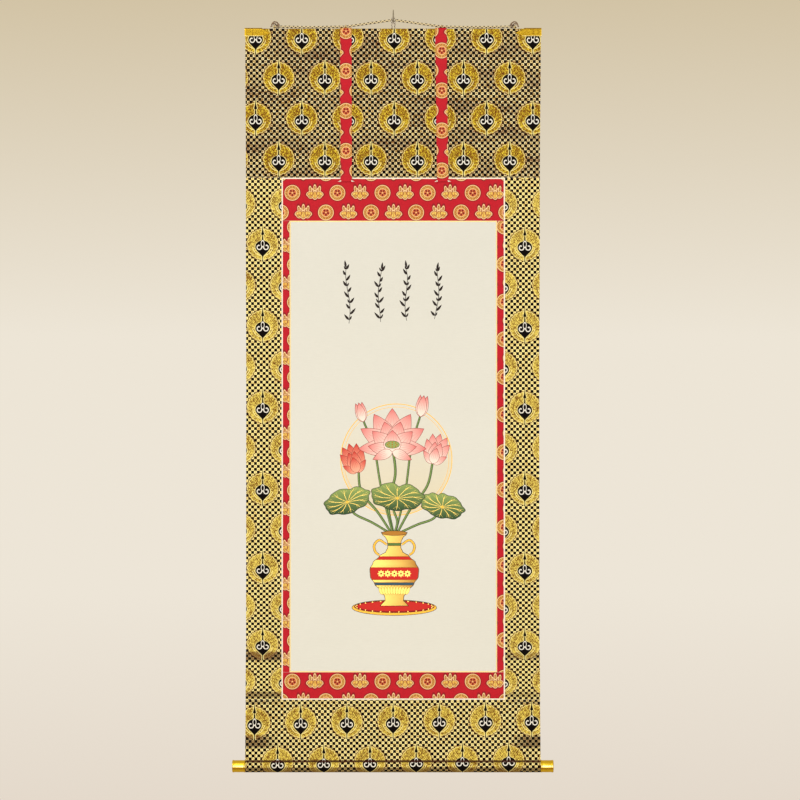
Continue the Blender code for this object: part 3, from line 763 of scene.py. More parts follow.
def red_brocade(name):
    """The crimson brocade of one band or strip."""
    g = Graph(name)
    across, along = g.cloth_place()
    origin_x, origin_y, row_shift, row_high = RED_ORIGINS[name]
    row = g.nearest((along - origin_y) / row_high)
    u = across - origin_x - g.odd(row) * row_shift
    column = g.nearest(u / MOTIF_WIDE)
    is_spray = g.odd(column)
    x = u - column * MOTIF_WIDE
    y = along - origin_y - row * row_high
    r = g.hypot(x, y)
    patch = g.noise(60.0, 3.0)
    thread = g.noise(THREAD_SCALE, 1.0)
    fleck = g.noise(330.0, 2.0)
    spray_colour, spray_edge = spray(g, abs(x), y, fleck)
    edge = g.mix(is_spray, r - MEDALLION_RADIUS, spray_edge)
    shape = g.inside(edge)
    ground = g.mix(fleck * 0.5, CRIMSON, CRIMSON_DARK)
    ground = g.mix(g.line(edge - 0.9, 1.0) * 0.8, ground, CRIMSON_DARK)
    colour = g.mix(shape, ground, g.mix(is_spray, medallion(g, x, y, r, patch), spray_colour))
    colour = g.scaled(colour, 0.78, 1.20, patch * 0.3 + thread * 0.7)
    g.surface(Base_Color=colour, Roughness=0.66 - patch * 0.10, Specular_IOR_Level=0.22)
    g.bump(g.weave(across, along, RED_WEAVE, RED_WEAVE) * 0.4 + shape, 0.32, THREAD_RISE)
    return g.material


def plain_silk(name, light, dark, metallic=0.0, roughness=0.7):
    """A plain ribbed silk, with slubs in its weave."""
    g = Graph(name)
    across, along = g.cloth_place()
    slub = g.noise(1.0, 3.0, g.vector(across * 0.06, along * 0.7))
    patch = g.noise(28.0, 3.0)
    weave = g.weave(across, along, *RIBBED_WEAVE)
    colour = g.mix(slub * 0.6 + patch * 0.4, light, dark)
    g.surface(
        Base_Color=colour,
        Roughness=roughness,
        Metallic=metallic,
        Sheen_Weight=0.15,
        Specular_IOR_Level=0.3,
    )
    g.bump(weave * 0.6 + slub, 0.25, FINE_RISE)
    return g.material


def painted_silk():
    """The picture's silk. The painting is in its mesh's colours, and its gold in a second layer."""
    g = Graph("painted_silk")
    across, along = g.cloth_place()
    paint = g.add("ShaderNodeVertexColor", layer_name="paint")
    gilt = g.add("ShaderNodeAttribute", attribute_name="gilt")
    gold = Term(g, gilt.outputs["Fac"])
    slub = g.noise(1.0, 3.0, g.vector(across * 0.05, along * 0.8))
    stain = g.noise(4.5, 4.0)
    brush = g.noise(180.0, 3.0)
    weave = g.weave(across, along, SILK_WEAVE, SILK_WEAVE)
    colour = g.scaled(Term(g, paint.outputs[0]), 0.90, 1.06, slub * 0.5 + stain * 0.3 + brush * 0.2)
    # Painted light: the silk is painted a little darker towards its top and lighter lower down.
    colour = g.scaled(colour, 0.975, 1.025, g.inside(along + 650.0, 400.0))
    g.surface(
        Base_Color=colour,
        Roughness=0.78 - gold * 0.36,
        Metallic=gold * 0.55,
        Sheen_Weight=0.08,
        Specular_IOR_Level=0.3,
    )
    g.bump(weave * 0.5 + slub * 0.7 + gold, 0.22, FINE_RISE)
    return g.material


def backing_paper():
    g = Graph("backing_paper")
    fibre = g.noise(220.0, 4.0, roughness=0.65)
    cloud = g.noise(9.0, 3.0)
    colour = g.mix(fibre * 0.5 + cloud * 0.5, rgb(236, 226, 202), rgb(212, 196, 164))
    g.surface(Base_Color=colour, Roughness=0.88, Specular_IOR_Level=0.25)
    g.bump(fibre, 0.3, FINE_RISE)
    return g.material


# Along a knob's front: the height of the pale line of painted highlight and of the brown line of
# painted shade, and half their widths.
KNOB_HIGHLIGHT_BAND = (-1488.8, 2.0)
KNOB_SHADE_BAND = (-1493.6, 1.3)

# Where the front of a cap begins, the ends of its engraved point, and its pale lower line.
CAP_FRONT_Y = -23.5
CAP_POINT_START = 281.2
CAP_POINT_END = 294.5
CAP_BORDER = -29.2


def gilt(name, engraved=False, painted_light_bands=False):
    """Gilt metal with fine scratches, and where engraved a ground of rings and curling lines.

    With painted light bands it has a painted highlight, pale along its front, and a browner line of
    painted shade under that.
    """
    g = Graph(name)
    x, y, z = g.own_place()
    scratch = g.noise(1.0, 3.0, g.vector(x * 0.25, y * 4.0, z * 4.0))
    cloud = g.noise(120.0, 3.0)
    if painted_light_bands:
        colour = g.mix(cloud, rgb(240, 208, 56), rgb(216, 174, 36))
    else:
        colour = g.mix(cloud, rgb(200, 166, 40), rgb(166, 128, 22))
    height = scratch * 0.25
    if painted_light_bands:
        # Painted highlight and painted shade: bands that stand in for the lamps' reflection on the
        # knob.
        highlight_band = g.line(z - KNOB_HIGHLIGHT_BAND[0], KNOB_HIGHLIGHT_BAND[1], 2.0) * 0.7
        shade_band = g.line(z - KNOB_SHADE_BAND[0], KNOB_SHADE_BAND[1], 1.4) * 0.9
        colour = g.mix(highlight_band, colour, rgb(238, 222, 156))
        colour = g.mix(shade_band, colour, rgb(150, 84, 14))
    if engraved:
        worm = g.noise(0.34, 2.0, g.vector(x, y * 0.2, z))
        curl = g.line(g.fract(worm * 7.0) - 0.5, 0.13, 0.10)
        on_front = g.inside(y - CAP_FRONT_Y, 0.5)
        on_point = g.inside(abs(x) - CAP_POINT_END, 1.0) * on_front
        rim = g.line(abs(x) - CAP_POINT_START, 0.35, 0.3) * on_front
        cut = g.most(curl * on_point, rim)
        colour = g.mix(cut * 0.75, colour, rgb(120, 72, 10))
        colour = g.mix(g.line(z - CAP_BORDER, 0.8) * on_front * 0.7, colour, rgb(255, 240, 176))
        height = height - cut * 2.0
    g.surface(
        Base_Color=colour,
        Metallic=0.92,
        Roughness=scratch * 0.16 + cloud * 0.10 + 0.27,
    )
    g.bump(height, 0.4, FINE_RISE)
    return g.material


def wood():
    g = Graph("planed_wood")
    x, y, z = g.own_place()
    grain = g.noise(1.0, 4.0, g.vector(x * 0.02, y * 0.8, z * 0.8))
    pore = g.noise(1.0, 2.0, g.vector(x * 0.3, y * 6.0, z * 6.0))
    colour = g.mix(grain, rgb(196, 150, 96), rgb(142, 96, 54))
    g.surface(Base_Color=colour, Roughness=0.62, Specular_IOR_Level=0.35)
    g.bump(grain + pore * 0.5, 0.3, FINE_RISE)
    return g.material


def braid(name, turns_per_mm, light, dark):
    """Braided thread with dark flecks. Across is round the cord and along is its length."""
    g = Graph(name)
    across, along = g.cloth_place()
    strand = across * 0.002
    left = g.fract(strand + along * turns_per_mm)
    right = g.fract(strand - along * turns_per_mm)
    left_brown = g.inside(abs(left - 0.5) - 0.30, 0.10)
    right_brown = g.inside(abs(right - 0.5) - 0.30, 0.10)
    fleck = g.most(left_brown * right_brown, (left_brown + right_brown) * 0.18)
    thread = g.noise(1500.0, 2.0)
    colour = g.mix(fleck, light, dark)
    colour = g.scaled(colour, 0.75, 1.15, thread)
    g.surface(Base_Color=colour, Roughness=0.82, Sheen_Weight=0.2, Specular_IOR_Level=0.25)
    g.bump(thread, 0.35, FINE_RISE)
    return g.material


def iron():
    g = Graph("drawn_iron")
    stain = g.noise(420.0, 4.0)
    colour = g.mix(stain, rgb(150, 138, 118), rgb(112, 102, 86))
    g.surface(Base_Color=colour, Metallic=0.7, Roughness=stain * 0.25 + 0.35)
    g.bump(stain, 0.3, FINE_RISE)
    return g.material


def floss():
    g = Graph("silk_floss")
    thread = g.noise(1200.0, 2.0)
    colour = g.mix(thread, rgb(255, 250, 244), rgb(238, 226, 208))
    g.surface(Base_Color=colour, Roughness=0.55, Sheen_Weight=0.3)
    g.bump(thread, 0.3, FINE_RISE)
    return g.material


def outline(z):
    """Left and right x of the mounting's outer edges at a height."""
    above = OUTLINE[0]
    for below in OUTLINE[1:]:
        if z >= below[0] or below is OUTLINE[-1]:
            share = smooth_step((above[0] - z) / (above[0] - below[0]))
            return between(above[1], below[1], share), between(above[2], below[2], share)
        above = below


def wave(x, z):
    """How far the hanging cloth leans back at a point."""
    held_above = smooth_step((HELD_ABOVE[0] - z) / HELD_ABOVE[1])
    held_below = smooth_step((z - HELD_BELOW[0]) / HELD_BELOW[1])
    across = x / OUTLINE[0][2]
    side = min(1.0, abs(across)) ** 2
    lean = 0.0
    for centre, half_height, at_sides, in_middle in WAVES:
        lean += between(in_middle, at_sides, side) * math.exp(-(((z - centre) / half_height) ** 2))
    for centre, half_height, depth, slant in CREASES:
        lean += depth * math.exp(-(((z - centre - slant * across) / half_height) ** 2))
    return lean * held_above * held_below


def arc(centre_y, centre_z, radius, start_deg, end_deg, steps):
    """Points (y, z) on an arc. Angles run from +Y towards +Z."""
    points = []
    for i in range(steps + 1):
        angle = math.radians(between(start_deg, end_deg, i / steps))
        points.append((centre_y + radius * math.cos(angle), centre_z + radius * math.sin(angle)))
    return points


def offset(points, distance):
    """A section moved to the right of its own direction, which is its outer face."""
    moved = []
    for i, (y, z) in enumerate(points):
        before = Vector(points[max(i - 1, 0)])
        here = Vector((y, z))
        after = Vector(points[min(i + 1, len(points) - 1)])
        into = (here - before).normalized() if i else (after - here).normalized()
        out = (after - here).normalized() if i < len(points) - 1 else into
        along = (into + out).normalized()
        mitre = max(0.5, along.dot(out))
        moved.append((y + along.y * distance / mitre, z - along.x * distance / mitre))
    return moved


def flat_section(top, bottom):
    steps = max(1, round((top - bottom) / ROW_PITCH))
    return [(SHEET_Y, between(top, bottom, i / steps)) for i in range(steps + 1)]


def round_front_edge(clear):
    return arc(
        ROD_FRONT_Y + ROD_FRONT_RADIUS, ROD_TOP_Z - ROD_FRONT_RADIUS,
        ROD_FRONT_RADIUS + clear, 90, 180, 8,
    )


def over_rod(clear):
    points = arc(
        ROD_BACK_Y - ROD_BACK_RADIUS, ROD_TOP_Z - ROD_BACK_RADIUS,
        ROD_BACK_RADIUS + clear, 0, 90, 10,
    )
    return points + round_front_edge(clear)


def under_rod(clear):
    return arc(
        ROD_BACK_Y - ROD_BACK_RADIUS, ROD_BOTTOM_Z + ROD_BACK_RADIUS,
        ROD_BACK_RADIUS + clear, -90, 0, 10,
    )


def finish_mesh(name, points, faces, materials, smooth_deg=40):
    mesh = bpy.data.meshes.new(name)
    mesh.from_pydata([tuple(p) for p in points], [], faces)
    for material in materials:
        mesh.materials.append(material)
    mesh.shade_smooth()
    mesh.set_sharp_from_angle(angle=math.radians(smooth_deg))
    obj = bpy.data.objects.new(name, mesh)
    bpy.context.scene.collection.objects.link(obj)
    return obj


def dress(obj, node):
    """Puts a piece in the place of a node."""
    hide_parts(node)
    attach(obj, "root")
    return obj


def set_cloth_map(mesh, places):
    """Writes each corner's place on the cloth, in metres."""
    layer = mesh.uv_layers.new(name="cloth")
    for loop in mesh.loops:
        layer.data[loop.index].uv = places[loop.vertex_index]


def grid_rim(rows, across):
    """The points round the edge of a grid, in order."""
    rim = list(range(across))
    rim += [j * across + across - 1 for j in range(1, rows)]
    rim += [(rows - 1) * across + i for i in range(across - 2, -1, -1)]
    return rim + [j * across for j in range(rows - 2, 0, -1)]


def cloth(name, section, edges, thick, face_material, swing=None, dome=0.0, shown=SHEET_THICK):
    """A thin sheet on the outer face of its solid's section, its back covered with paper."""
    outer = offset(section, thick / 2)
    inner = offset(section, thick / 2 - shown)
    widest = max(edges(z)[1] - edges(z)[0] for _, z in section)
    columns = max(4, round(widest / COLUMN_PITCH))
    along = [0.0]
    for (y0, z0), (y1, z1) in zip(outer, outer[1:]):
        along.append(along[-1] - math.hypot(y1 - y0, z1 - z0))
    flat_row = max(range(len(section)), key=lambda i: (section[i][0] == SHEET_Y, -i))
    shift = section[flat_row][1] - along[flat_row]
    points = []
    places = []
    for face, bulge in ((outer, dome), (inner, 0.0)):
        for (y, z), (_, middle_z), v in zip(face, section, along):
            left, right = edges(middle_z)
            for i in range(columns + 1):
                share = i / columns
                x = between(left, right, share)
                lean = wave(x, middle_z) + (swing(middle_z) if swing else 0.0)
                rounding = bulge * (1 - (2 * share - 1) ** 2)
                points.append((x, y + lean - rounding, z))
                places.append((x, v + shift))
    across = columns + 1
    sheet = across * len(section)
    faces = []
    for j in range(len(section) - 1):
        for i in range(columns):
            a = j * across + i
            faces.append((a, a + across, a + across + 1, a + 1))
    front_count = len(faces)
    for quad in faces[:front_count]:
        faces.append(tuple(sheet + v for v in reversed(quad)))
    rim = grid_rim(len(section), across)
    for a, b in zip(rim, rim[1:] + rim[:1]):
        faces.append((a, b, sheet + b, sheet + a))
    obj = finish_mesh(name, points, faces, (face_material, looks["paper"]))
    for polygon in obj.data.polygons[front_count:2 * front_count]:
        polygon.material_index = 1
    set_cloth_map(obj.data, places)
    return obj


def make_top_panel():
    middle = GAP + CLOTH_THICK / 2
    section = [(ROD_FRONT_Y + ROD_FRONT_RADIUS, ROD_BOTTOM_Z - middle)]
    section += under_rod(middle) + over_rod(middle)
    section += flat_section(section[-1][1], WHITE_EDGE[1] + GAP / 2)[1:]
    panel = cloth("top_panel_cloth", section, outline, CLOTH_THICK, outer_brocade("top_panel"))
    return dress(panel, "top_panel")


def make_bottom_panel():
    around = ROLLER_RADIUS + GAP + CLOTH_THICK / 2
    crease_y = SHEET_Y - CREASE_RADIUS
    forward = HANG_Y - crease_y
    crease_z = ROLLER_Z + math.sqrt((around + CREASE_RADIUS) ** 2 - forward**2)
    meets_deg = math.degrees(math.atan2(forward, crease_z - ROLLER_Z))
    section = flat_section(WHITE_EDGE[2] - GAP / 2, crease_z)
    section += arc(crease_y, crease_z, CREASE_RADIUS, 0, meets_deg - 90, 6)[1:]
    section += arc(HANG_Y, ROLLER_Z, around, 90 + meets_deg, 90 + HEM_END_DEG, 44)[1:]
    material = outer_brocade("bottom_panel")
    panel = cloth("bottom_panel_cloth", section, outline, CLOTH_THICK, material)
    return dress(panel, "bottom_panel")


def make_side_panels():
    inner = WHITE_EDGE[0] + GAP / 2
    section = flat_section(WHITE_EDGE[1] - GAP / 2, WHITE_EDGE[2] + GAP / 2)
    panels = []
    for node, edges in (
        ("side_panel_left", lambda z: (outline(z)[0], -inner)),
        ("side_panel_right", lambda z: (inner, outline(z)[1])),
    ):
        panel = cloth(node + "_cloth", section, edges, CLOTH_THICK, outer_brocade(node))
        panels.append(dress(panel, node))
    return panels


def make_frame(name, outer, inner, material_of, dome=0.0):
    """Four flat lengths of cloth between two edges: top and bottom whole, the sides between."""
    half, high, low = outer
    hole, hole_high, hole_low = inner
    half -= GAP / 2
    hole += GAP / 2
    high -= GAP / 2
    low += GAP / 2
    upright = flat_section(hole_high - GAP / 2, hole_low + GAP / 2)
    lengths = {
        "top": (flat_section(high, hole_high + GAP / 2), (-half, half)),
        "bottom": (flat_section(hole_low - GAP / 2, low), (-half, half)),
        "left": (upright, (-half, -hole)),
        "right": (upright, (hole, half)),
    }
    made = {}
    for side, (section, edges) in lengths.items():
        node = name + "_" + side
        sheet = cloth(
            node + "_cloth", section, lambda z, e=edges: e, CLOTH_THICK, material_of(node), dome=dome,
        )
        made[side] = dress(sheet, node)
    return made


def strip_swing(z):
    return -STRIP_SWING * smooth_step((ROD_BOTTOM_Z - z) / (ROD_BOTTOM_Z - STRIP_END_Z)) ** 2


def strip_shift(side, z):
    """How far a strip has swung aside at a height, for it does not hang quite plumb."""
    return STRIP_LEAN[side] * ((ROD_TOP_Z - z) / (ROD_TOP_Z - STRIP_END_Z) - 0.5)


def make_strips():
    middle = GAP + CLOTH_THICK + STRIP_CLEAR + STRIP_THICK / 2
    section = [(STRIP_HEM_Y, ROD_TOP_Z + middle)]
    section += round_front_edge(middle)
    front_y, top = section[-1]
    section += [(front_y, z) for _, z in flat_section(top, STRIP_END_Z)[1:]]
    strips = []
    for side, centre in STRIP_CENTRES.items():
        node = "strip_" + side

        def edges(z, side=side, centre=centre):
            middle = centre + strip_shift(side, z)
            return middle - STRIP_WIDE / 2, middle + STRIP_WIDE / 2

        strip = cloth(node + "_cloth", section, edges, STRIP_THICK, red_brocade(node), strip_swing)
        strips.append(dress(strip, node))
    return strips


# The painting: three lotus flowers with buds and leaves in a gold vase, before a thin gold double
# ring, and four sprigs in ink above. Places are in millimetres, x across and z up.
SILK = rgb(218, 217, 211)
INK = rgb(34, 24, 22)
PAINT_GOLD = rgb(214, 160, 52)
PAINT_GOLD_LIGHT = rgb(240, 202, 104)
PAINT_GOLD_DARK = rgb(150, 98, 26)
PAINT_RED = rgb(204, 40, 34)
PAINT_RED_DARK = rgb(140, 22, 24)
PAINT_PINK = rgb(226, 116, 116)
PAINT_BLUSH = rgb(250, 232, 222)
PAINT_GREEN = rgb(92, 124, 66)
PAINT_GREEN_DARK = rgb(46, 78, 48)
PAINT_GREEN_LIGHT = rgb(146, 168, 96)
PAINT_BLUE = rgb(54, 84, 104)

# The spacing of the picture's points, inside and along its rim.
PICTURE_GRID = 12.0
PICTURE_RIM = 6.0


class Painting:
    """Closed shapes laid one over another, each with its paint and its share of gold."""

    def __init__(self):
        self.shapes = []

    def lay(self, points, paint, gold=0.0):
        self.shapes.append((wound_left(points), paint, gold))

    def inked(self, points, paint, gold=0.0, line=0.8, ink=INK):
        self.lay(swell(points, line), ink)
        self.lay(points, paint, gold)

    def stroke(self, points, wide, paint, gold=0.0, taper=0.25):
        self.lay(ribbon(points, wide, taper), paint, gold)


def wound_left(points):
    """A closed outline with its points in anticlockwise order."""
    area = 0.0
    for (x0, z0), (x1, z1) in zip(points, points[1:] + points[:1]):
        area += x0 * z1 - x1 * z0
    return points if area > 0 else points[::-1]


def swell(points, distance):
    """A closed outline moved outwards by a distance."""
    points = wound_left(points)
    moved = []
    for before, here, after in zip(points[-1:] + points[:-1], points, points[1:] + points[:1]):
        into = (Vector(here) - Vector(before)).normalized()
        out = (Vector(after) - Vector(here)).normalized()
        mean = into + out
        mean = mean.normalized() if mean.length > 0.05 else Vector((-into.y, into.x))
        mitre = max(0.45, abs(mean.dot(out)))
        moved.append((here[0] + mean.y * distance / mitre, here[1] - mean.x * distance / mitre))
    return moved


def ribbon(points, wide, taper):
    """An open line made a closed shape, thinner towards its ends."""
    left = []
    right = []
    last = len(points) - 1
    for i, point in enumerate(points):
        before = Vector(points[max(i - 1, 0)])
        after = Vector(points[min(i + 1, last)])
        along = (after - before).normalized()
        share = i / last
        half = wide / 2 * between(taper, 1.0, math.sin(math.pi * between(0.08, 0.92, share)))
        left.append((point[0] - along.y * half, point[1] + along.x * half))
        right.append((point[0] + along.y * half, point[1] - along.x * half))
    return left + right[::-1]


def curve_through(route, per_span=6):
    """Points on a smooth curve through a route's own points, in two or three dimensions."""
    points = [Vector(p) for p in route]
    ends = [points[0] * 2 - points[1]] + points + [points[-1] * 2 - points[-2]]
    found = []
    for i in range(1, len(ends) - 2):
        before, a, b, after = ends[i - 1:i + 3]
        for k in range(per_span):
            t = k / per_span
            found.append(0.5 * (
                2 * a + (b - before) * t + (2 * before - 5 * a + 4 * b - after) * t**2
                + (3 * a - before - 3 * b + after) * t**3
            ))
    return found + [points[-1]]


def flat_curve(route, per_span=6):
    return [(p.x, p.y) for p in curve_through(route, per_span)]


def leaf_shape(base, turn_deg, long, wide, bend=0.0, steps=10, fullness=0.75):
    """A pointed petal or leaf from its base. Its middle line bends to one side."""
    up, across = heading(turn_deg)
    spine = []
    for i in range(steps + 1):
        s = i / steps
        spine.append(Vector(base) + up * (long * s) + across * (bend * s * s))
    left = []
    right = []
    for i in range(1, steps):
        s = i / steps
        half = wide / 2 * math.sin(math.pi * s**fullness) ** 0.85
        left.append(tuple(spine[i] - across * half))
        right.append(tuple(spine[i] + across * half))
    return [tuple(spine[0])] + left + [tuple(spine[-1])] + right[::-1], [tuple(p) for p in spine]


def shaded(start, end, first, second, power=1.0):
    """Paint that runs from one colour to another between two points."""
    start = Vector(start)
    line = Vector(end) - start
    length = line.length_squared

    def paint(x, z):
        share = min(1.0, max(0.0, (Vector((x, z)) - start).dot(line) / length)) ** power
        return tuple(between(a, b, share) for a, b in zip(first, second))

    return paint


def draw_petal(art, base, turn, long, wide, bend=0.0, tip=PAINT_PINK, root=PAINT_BLUSH):
    shape, spine = leaf_shape(base, turn, long, wide, bend)
    art.inked(shape, shaded(spine[0], spine[-1], root, tip, 1.6), line=0.75, ink=PAINT_RED_DARK)
    across = heading(turn)[1]
    for lane in (-0.30, -0.10, 0.10, 0.30):
        vein = []
        for i in range(3, 9):
            spread = lane * wide * math.sin(math.pi * (i / 10) ** 0.75)
            vein.append(tuple(Vector(spine[i]) + across * spread))
        art.stroke(vein, 0.45, tip)


# Petals of a flower, back to front: turn, length, width and bend, and the drop of their base.
OPEN_FLOWER = (
    (0, 66, 34, 0, 0),
    (-26, 64, 33, -3, 0),
    (26, 64, 33, 3, 0),
    (-52, 62, 31, -7, 1),
    (52, 62, 31, 7, 1),
    (-78, 56, 27, -11, 3),
    (78, 56, 27, 11, 3),
    (-14, 50, 31, -1, 5),
    (15, 50, 31, 1, 5),
    (-40, 47, 28, -4, 6),
    (41, 47, 28, 4, 6),
    (-66, 41, 22, -7, 8),
    (67, 41, 22, 7, 8),
    (0, 38, 29, 0, 9),
    (-100, 34, 16, -6, 8),
    (101, 34, 16, 6, 8),
)
HALF_OPEN_FLOWER = (
    (0, 62, 28, 0, 0),
    (-20, 60, 27, 4, 0),
    (20, 60, 27, -4, 0),
    (-38, 52, 24, 7, 2),
    (38, 52, 24, -7, 2),
    (-12, 46, 25, 3, 4),
    (12, 46, 25, -3, 4),
    (-58, 34, 15, 4, 6),
    (58, 34, 15, -4, 6),
    (0, 36, 22, 0, 7),
)


def draw_flower(art, centre, size, tilt, petals, tip=PAINT_PINK, root=PAINT_BLUSH):
    for turn, long, wide, bend, drop in petals:
        down = math.radians(tilt)
        base = (centre[0] - drop * size * math.sin(down), centre[1] - drop * size * math.cos(down))
        draw_petal(art, base, tilt + turn, long * size, wide * size, bend * size, tip, root)


def draw_bud(art, centre, tilt, size):
    for turn, wide in ((-16, 15), (16, 15), (0, 17)):
        draw_petal(art, centre, tilt + turn, 40 * size, wide * size, -turn * 0.28 * size)


def draw_lotus_leaf(art, centre, half_wide, half_high, tilt, cut_deg=0):
    """A round leaf seen aslant, with a waved edge, ribs from its heart and a notch."""
    lean = math.radians(tilt)
    rim = []
    steps = 72
    for i in range(steps):
        turn = 2 * math.pi * i / steps
        swell_by = 1 + 0.045 * math.sin(7 * turn + 0.6) + 0.025 * math.sin(12 * turn)
        notch = 1 - 0.22 * math.exp(-(((math.degrees(turn) - cut_deg + 180) % 360 - 180) / 9) ** 2)
        x = half_wide * swell_by * notch * math.cos(turn)
        z = half_high * swell_by * notch * math.sin(turn)
        rim.append((
            centre[0] + x * math.cos(lean) - z * math.sin(lean),
            centre[1] + x * math.sin(lean) + z * math.cos(lean),
        ))
    top = (centre[0], centre[1] + half_high)
    bottom = (centre[0], centre[1] - half_high)
    art.inked(rim, shaded(bottom, top, PAINT_GREEN_DARK, PAINT_GREEN_LIGHT), line=0.9)
    heart = Vector(centre) + Vector((0, -0.12 * half_high))
    for i in range(0, steps, 6):
        end = Vector(rim[i])
        side = Vector((heart.y - end.y, end.x - heart.x)) * 0.05
        middle = heart.lerp(end, 0.55) + side
        fork = heart.lerp(end, 0.62) + side
        art.stroke(flat_curve([heart.lerp(end, 0.05), middle, heart.lerp(end, 0.93)], 4), 1.0,
                   PAINT_GOLD_LIGHT, 1.0)
        for j in (-2, 2):
            twig = Vector(rim[(i + j) % steps])
            art.stroke([tuple(fork), tuple(fork.lerp(twig, 0.8))], 0.6, PAINT_GOLD_LIGHT, 1.0)
    art.lay(ring_shape(heart, 2.6, 16), PAINT_GOLD, 1.0)


def ring_shape(centre, radius, steps=48, high=None):
    """A circle, or an ellipse where its half height is given."""
    high = radius if high is None else high
    return [(centre[0] + radius * a, centre[1] + high * b) for a, b in circle(steps)]


def draw_stem(art, route, wide):
    path = flat_curve(route)
    art.stroke(path, wide + 1.5, INK, taper=0.9)
    art.stroke(path, wide, PAINT_GREEN, taper=0.85)
    art.stroke([(x - wide * 0.18, z) for x, z in path], wide * 0.3, PAINT_GREEN_LIGHT, taper=0.6)


# The middle of the vase's foot, and half of its outline from the mouth down: height, half width.
VASE_BASE = (2.0, -1168.0)
VASE = (
    (146, 25.0),
    (142, 23.0),
    (137, 17.0),
    (128, 13.0),
    (116, 12.5),
    (108, 16.0),
    (98, 30.0),
    (86, 42.0),
    (72, 48.5),
    (58, 47.5),
    (44, 39.0),
    (30, 27.0),
    (18, 18.5),
    (10, 17.5),
    (5, 23.0),
    (0, 27.0),
)
VASE_HANDLE = ((15, 122), (30, 131), (40, 121), (38, 108), (30, 101))

# Painted bands round the vase: top, bottom, paint.
VASE_BANDS = (
    (98, 92, PAINT_RED),
    (76, 52, PAINT_RED),
    (46, 41, PAINT_BLUE),
    (125, 120, PAINT_GREEN),
)


def vase_half_width(height):
    rows = list(reversed(VASE))
    for (low, low_wide), (high, high_wide) in zip(rows, rows[1:]):
        if height <= high:
            return between(low_wide, high_wide, smooth_step((height - low) / (high - low)))
    return rows[-1][1]


def draw_vase(art):
    x0, z0 = VASE_BASE
    tray = (x0, z0 - 4.0)
    art.inked(ring_shape(tray, 84, 64, 15), PAINT_GOLD, 1.0, 1.0)
    art.inked(ring_shape((tray[0], tray[1] + 2.0), 80, 64, 12.0), PAINT_RED_DARK, 0.0, 0.6)
    art.lay(ring_shape((tray[0], tray[1] + 2.6), 74, 64, 9.8), PAINT_RED)
    for dot in ring_shape((tray[0], tray[1] + 2.2), 77, 26, 10.9):
        art.lay(ring_shape(dot, 1.3, 8), PAINT_GOLD_LIGHT, 1.0)
    heights = [VASE[0][0] * i / 60 for i in range(61)]
    right = [(x0 + vase_half_width(h), z0 + h) for h in heights]
    left = [(x0 - vase_half_width(h), z0 + h) for h in reversed(heights)]
    paint = shaded((x0 - 44, z0), (x0 + 44, z0), PAINT_GOLD_LIGHT, PAINT_GOLD_DARK, 1.4)
    art.inked(right + left, paint, 1.0, 1.1)
    for high, low, colour in VASE_BANDS:
        edge = [between(low, high, i / 8) for i in range(9)]
        band = [(x0 + vase_half_width(h) - 0.4, z0 + h) for h in edge]
        band += [(x0 - vase_half_width(h) + 0.4, z0 + h) for h in reversed(edge)]
        art.inked(band, colour, 0.0, 0.7, PAINT_GOLD_DARK)
    for i in range(-2, 3):
        spot = (x0 + 13.2 * i, z0 + 64)
        for turn in range(0, 360, 45):
            petal, _ = leaf_shape(spot, turn, 7.6, 4.0, 0, 5)
            art.lay(petal, PAINT_GOLD_LIGHT, 1.0)
        art.lay(ring_shape(spot, 1.8, 10), PAINT_RED_DARK)
    for i in range(-5, 6):
        wide = vase_half_width(31) * 0.95
        petal, _ = leaf_shape((x0 + wide * i / 5.5, z0 + 22), i * 5, 17, 6.0, 0, 6)
        art.inked(petal, PAINT_GOLD_LIGHT, 1.0, 0.6, PAINT_GOLD_DARK)
    mouth = (x0, z0 + 145)
    art.inked(ring_shape(mouth, 25, 40, 4.2), PAINT_GOLD_DARK, 1.0, 0.9)
    for side in (-1, 1):
        handle = flat_curve([(x0 + side * x, z0 + z) for x, z in VASE_HANDLE])
        art.stroke(handle, 5.2, INK, taper=0.8)
        art.stroke(handle, 3.6, PAINT_GOLD, 1.0, taper=0.8)


def draw_sprig(art, x, top, bottom, lean, phase):
    """An upright sprig in ink: a waving stem with narrow leaves by turns to each side."""
    route = []
    for i in range(6):
        share = i / 5
        sway = 3.2 * math.sin(phase + share * 5.5) + lean * share
        route.append((x + sway, between(bottom, top, share)))
    stem = flat_curve(route)
    art.stroke(stem, 1.5, INK, taper=0.5)
    for k, at in enumerate(range(2, len(stem) - 1, 3)):
        side = 1 if k % 2 else -1
        size = 15.5 - 0.35 * k + 2.0 * math.sin(phase + 2.1 * k)
        leaf, spine = leaf_shape(stem[at], side * (52 - k), size, 4.9, -side * 2.6, 7)
        art.lay(leaf, INK)
        if k % 3 == 0:
            small, _ = leaf_shape(stem[at], -side * 38, size * 0.62, 3.4, side * 1.4, 6)
            art.lay(small, INK)
    tip, _ = leaf_shape(stem[-1], lean * 2, 15, 4.6, 0, 7)
    art.lay(tip, INK)


# The stems, from the vase's mouth, and the width of each.
STEMS = (
    (((-2, 0), (-12, 60), (2, 118), (-4, 176)), 4.0),
    (((-5, 0), (-34, 44), (-66, 84), (-72, 132)), 3.6),
    (((5, 0), (34, 52), (66, 96), (78, 150)), 3.6),
    (((-7, 0), (-44, 22), (-80, 40), (-92, 62)), 3.4),
    (((7, 0), (46, 18), (78, 30), (94, 52)), 3.4),
    (((2, 0), (22, 84), (34, 172), (52, 236)), 3.0),
    (((-3, 0), (-26, 90), (-40, 170), (-62, 226)), 3.0),
    (((0, 0), (6, 24), (-2, 52), (8, 78)), 3.4),
)

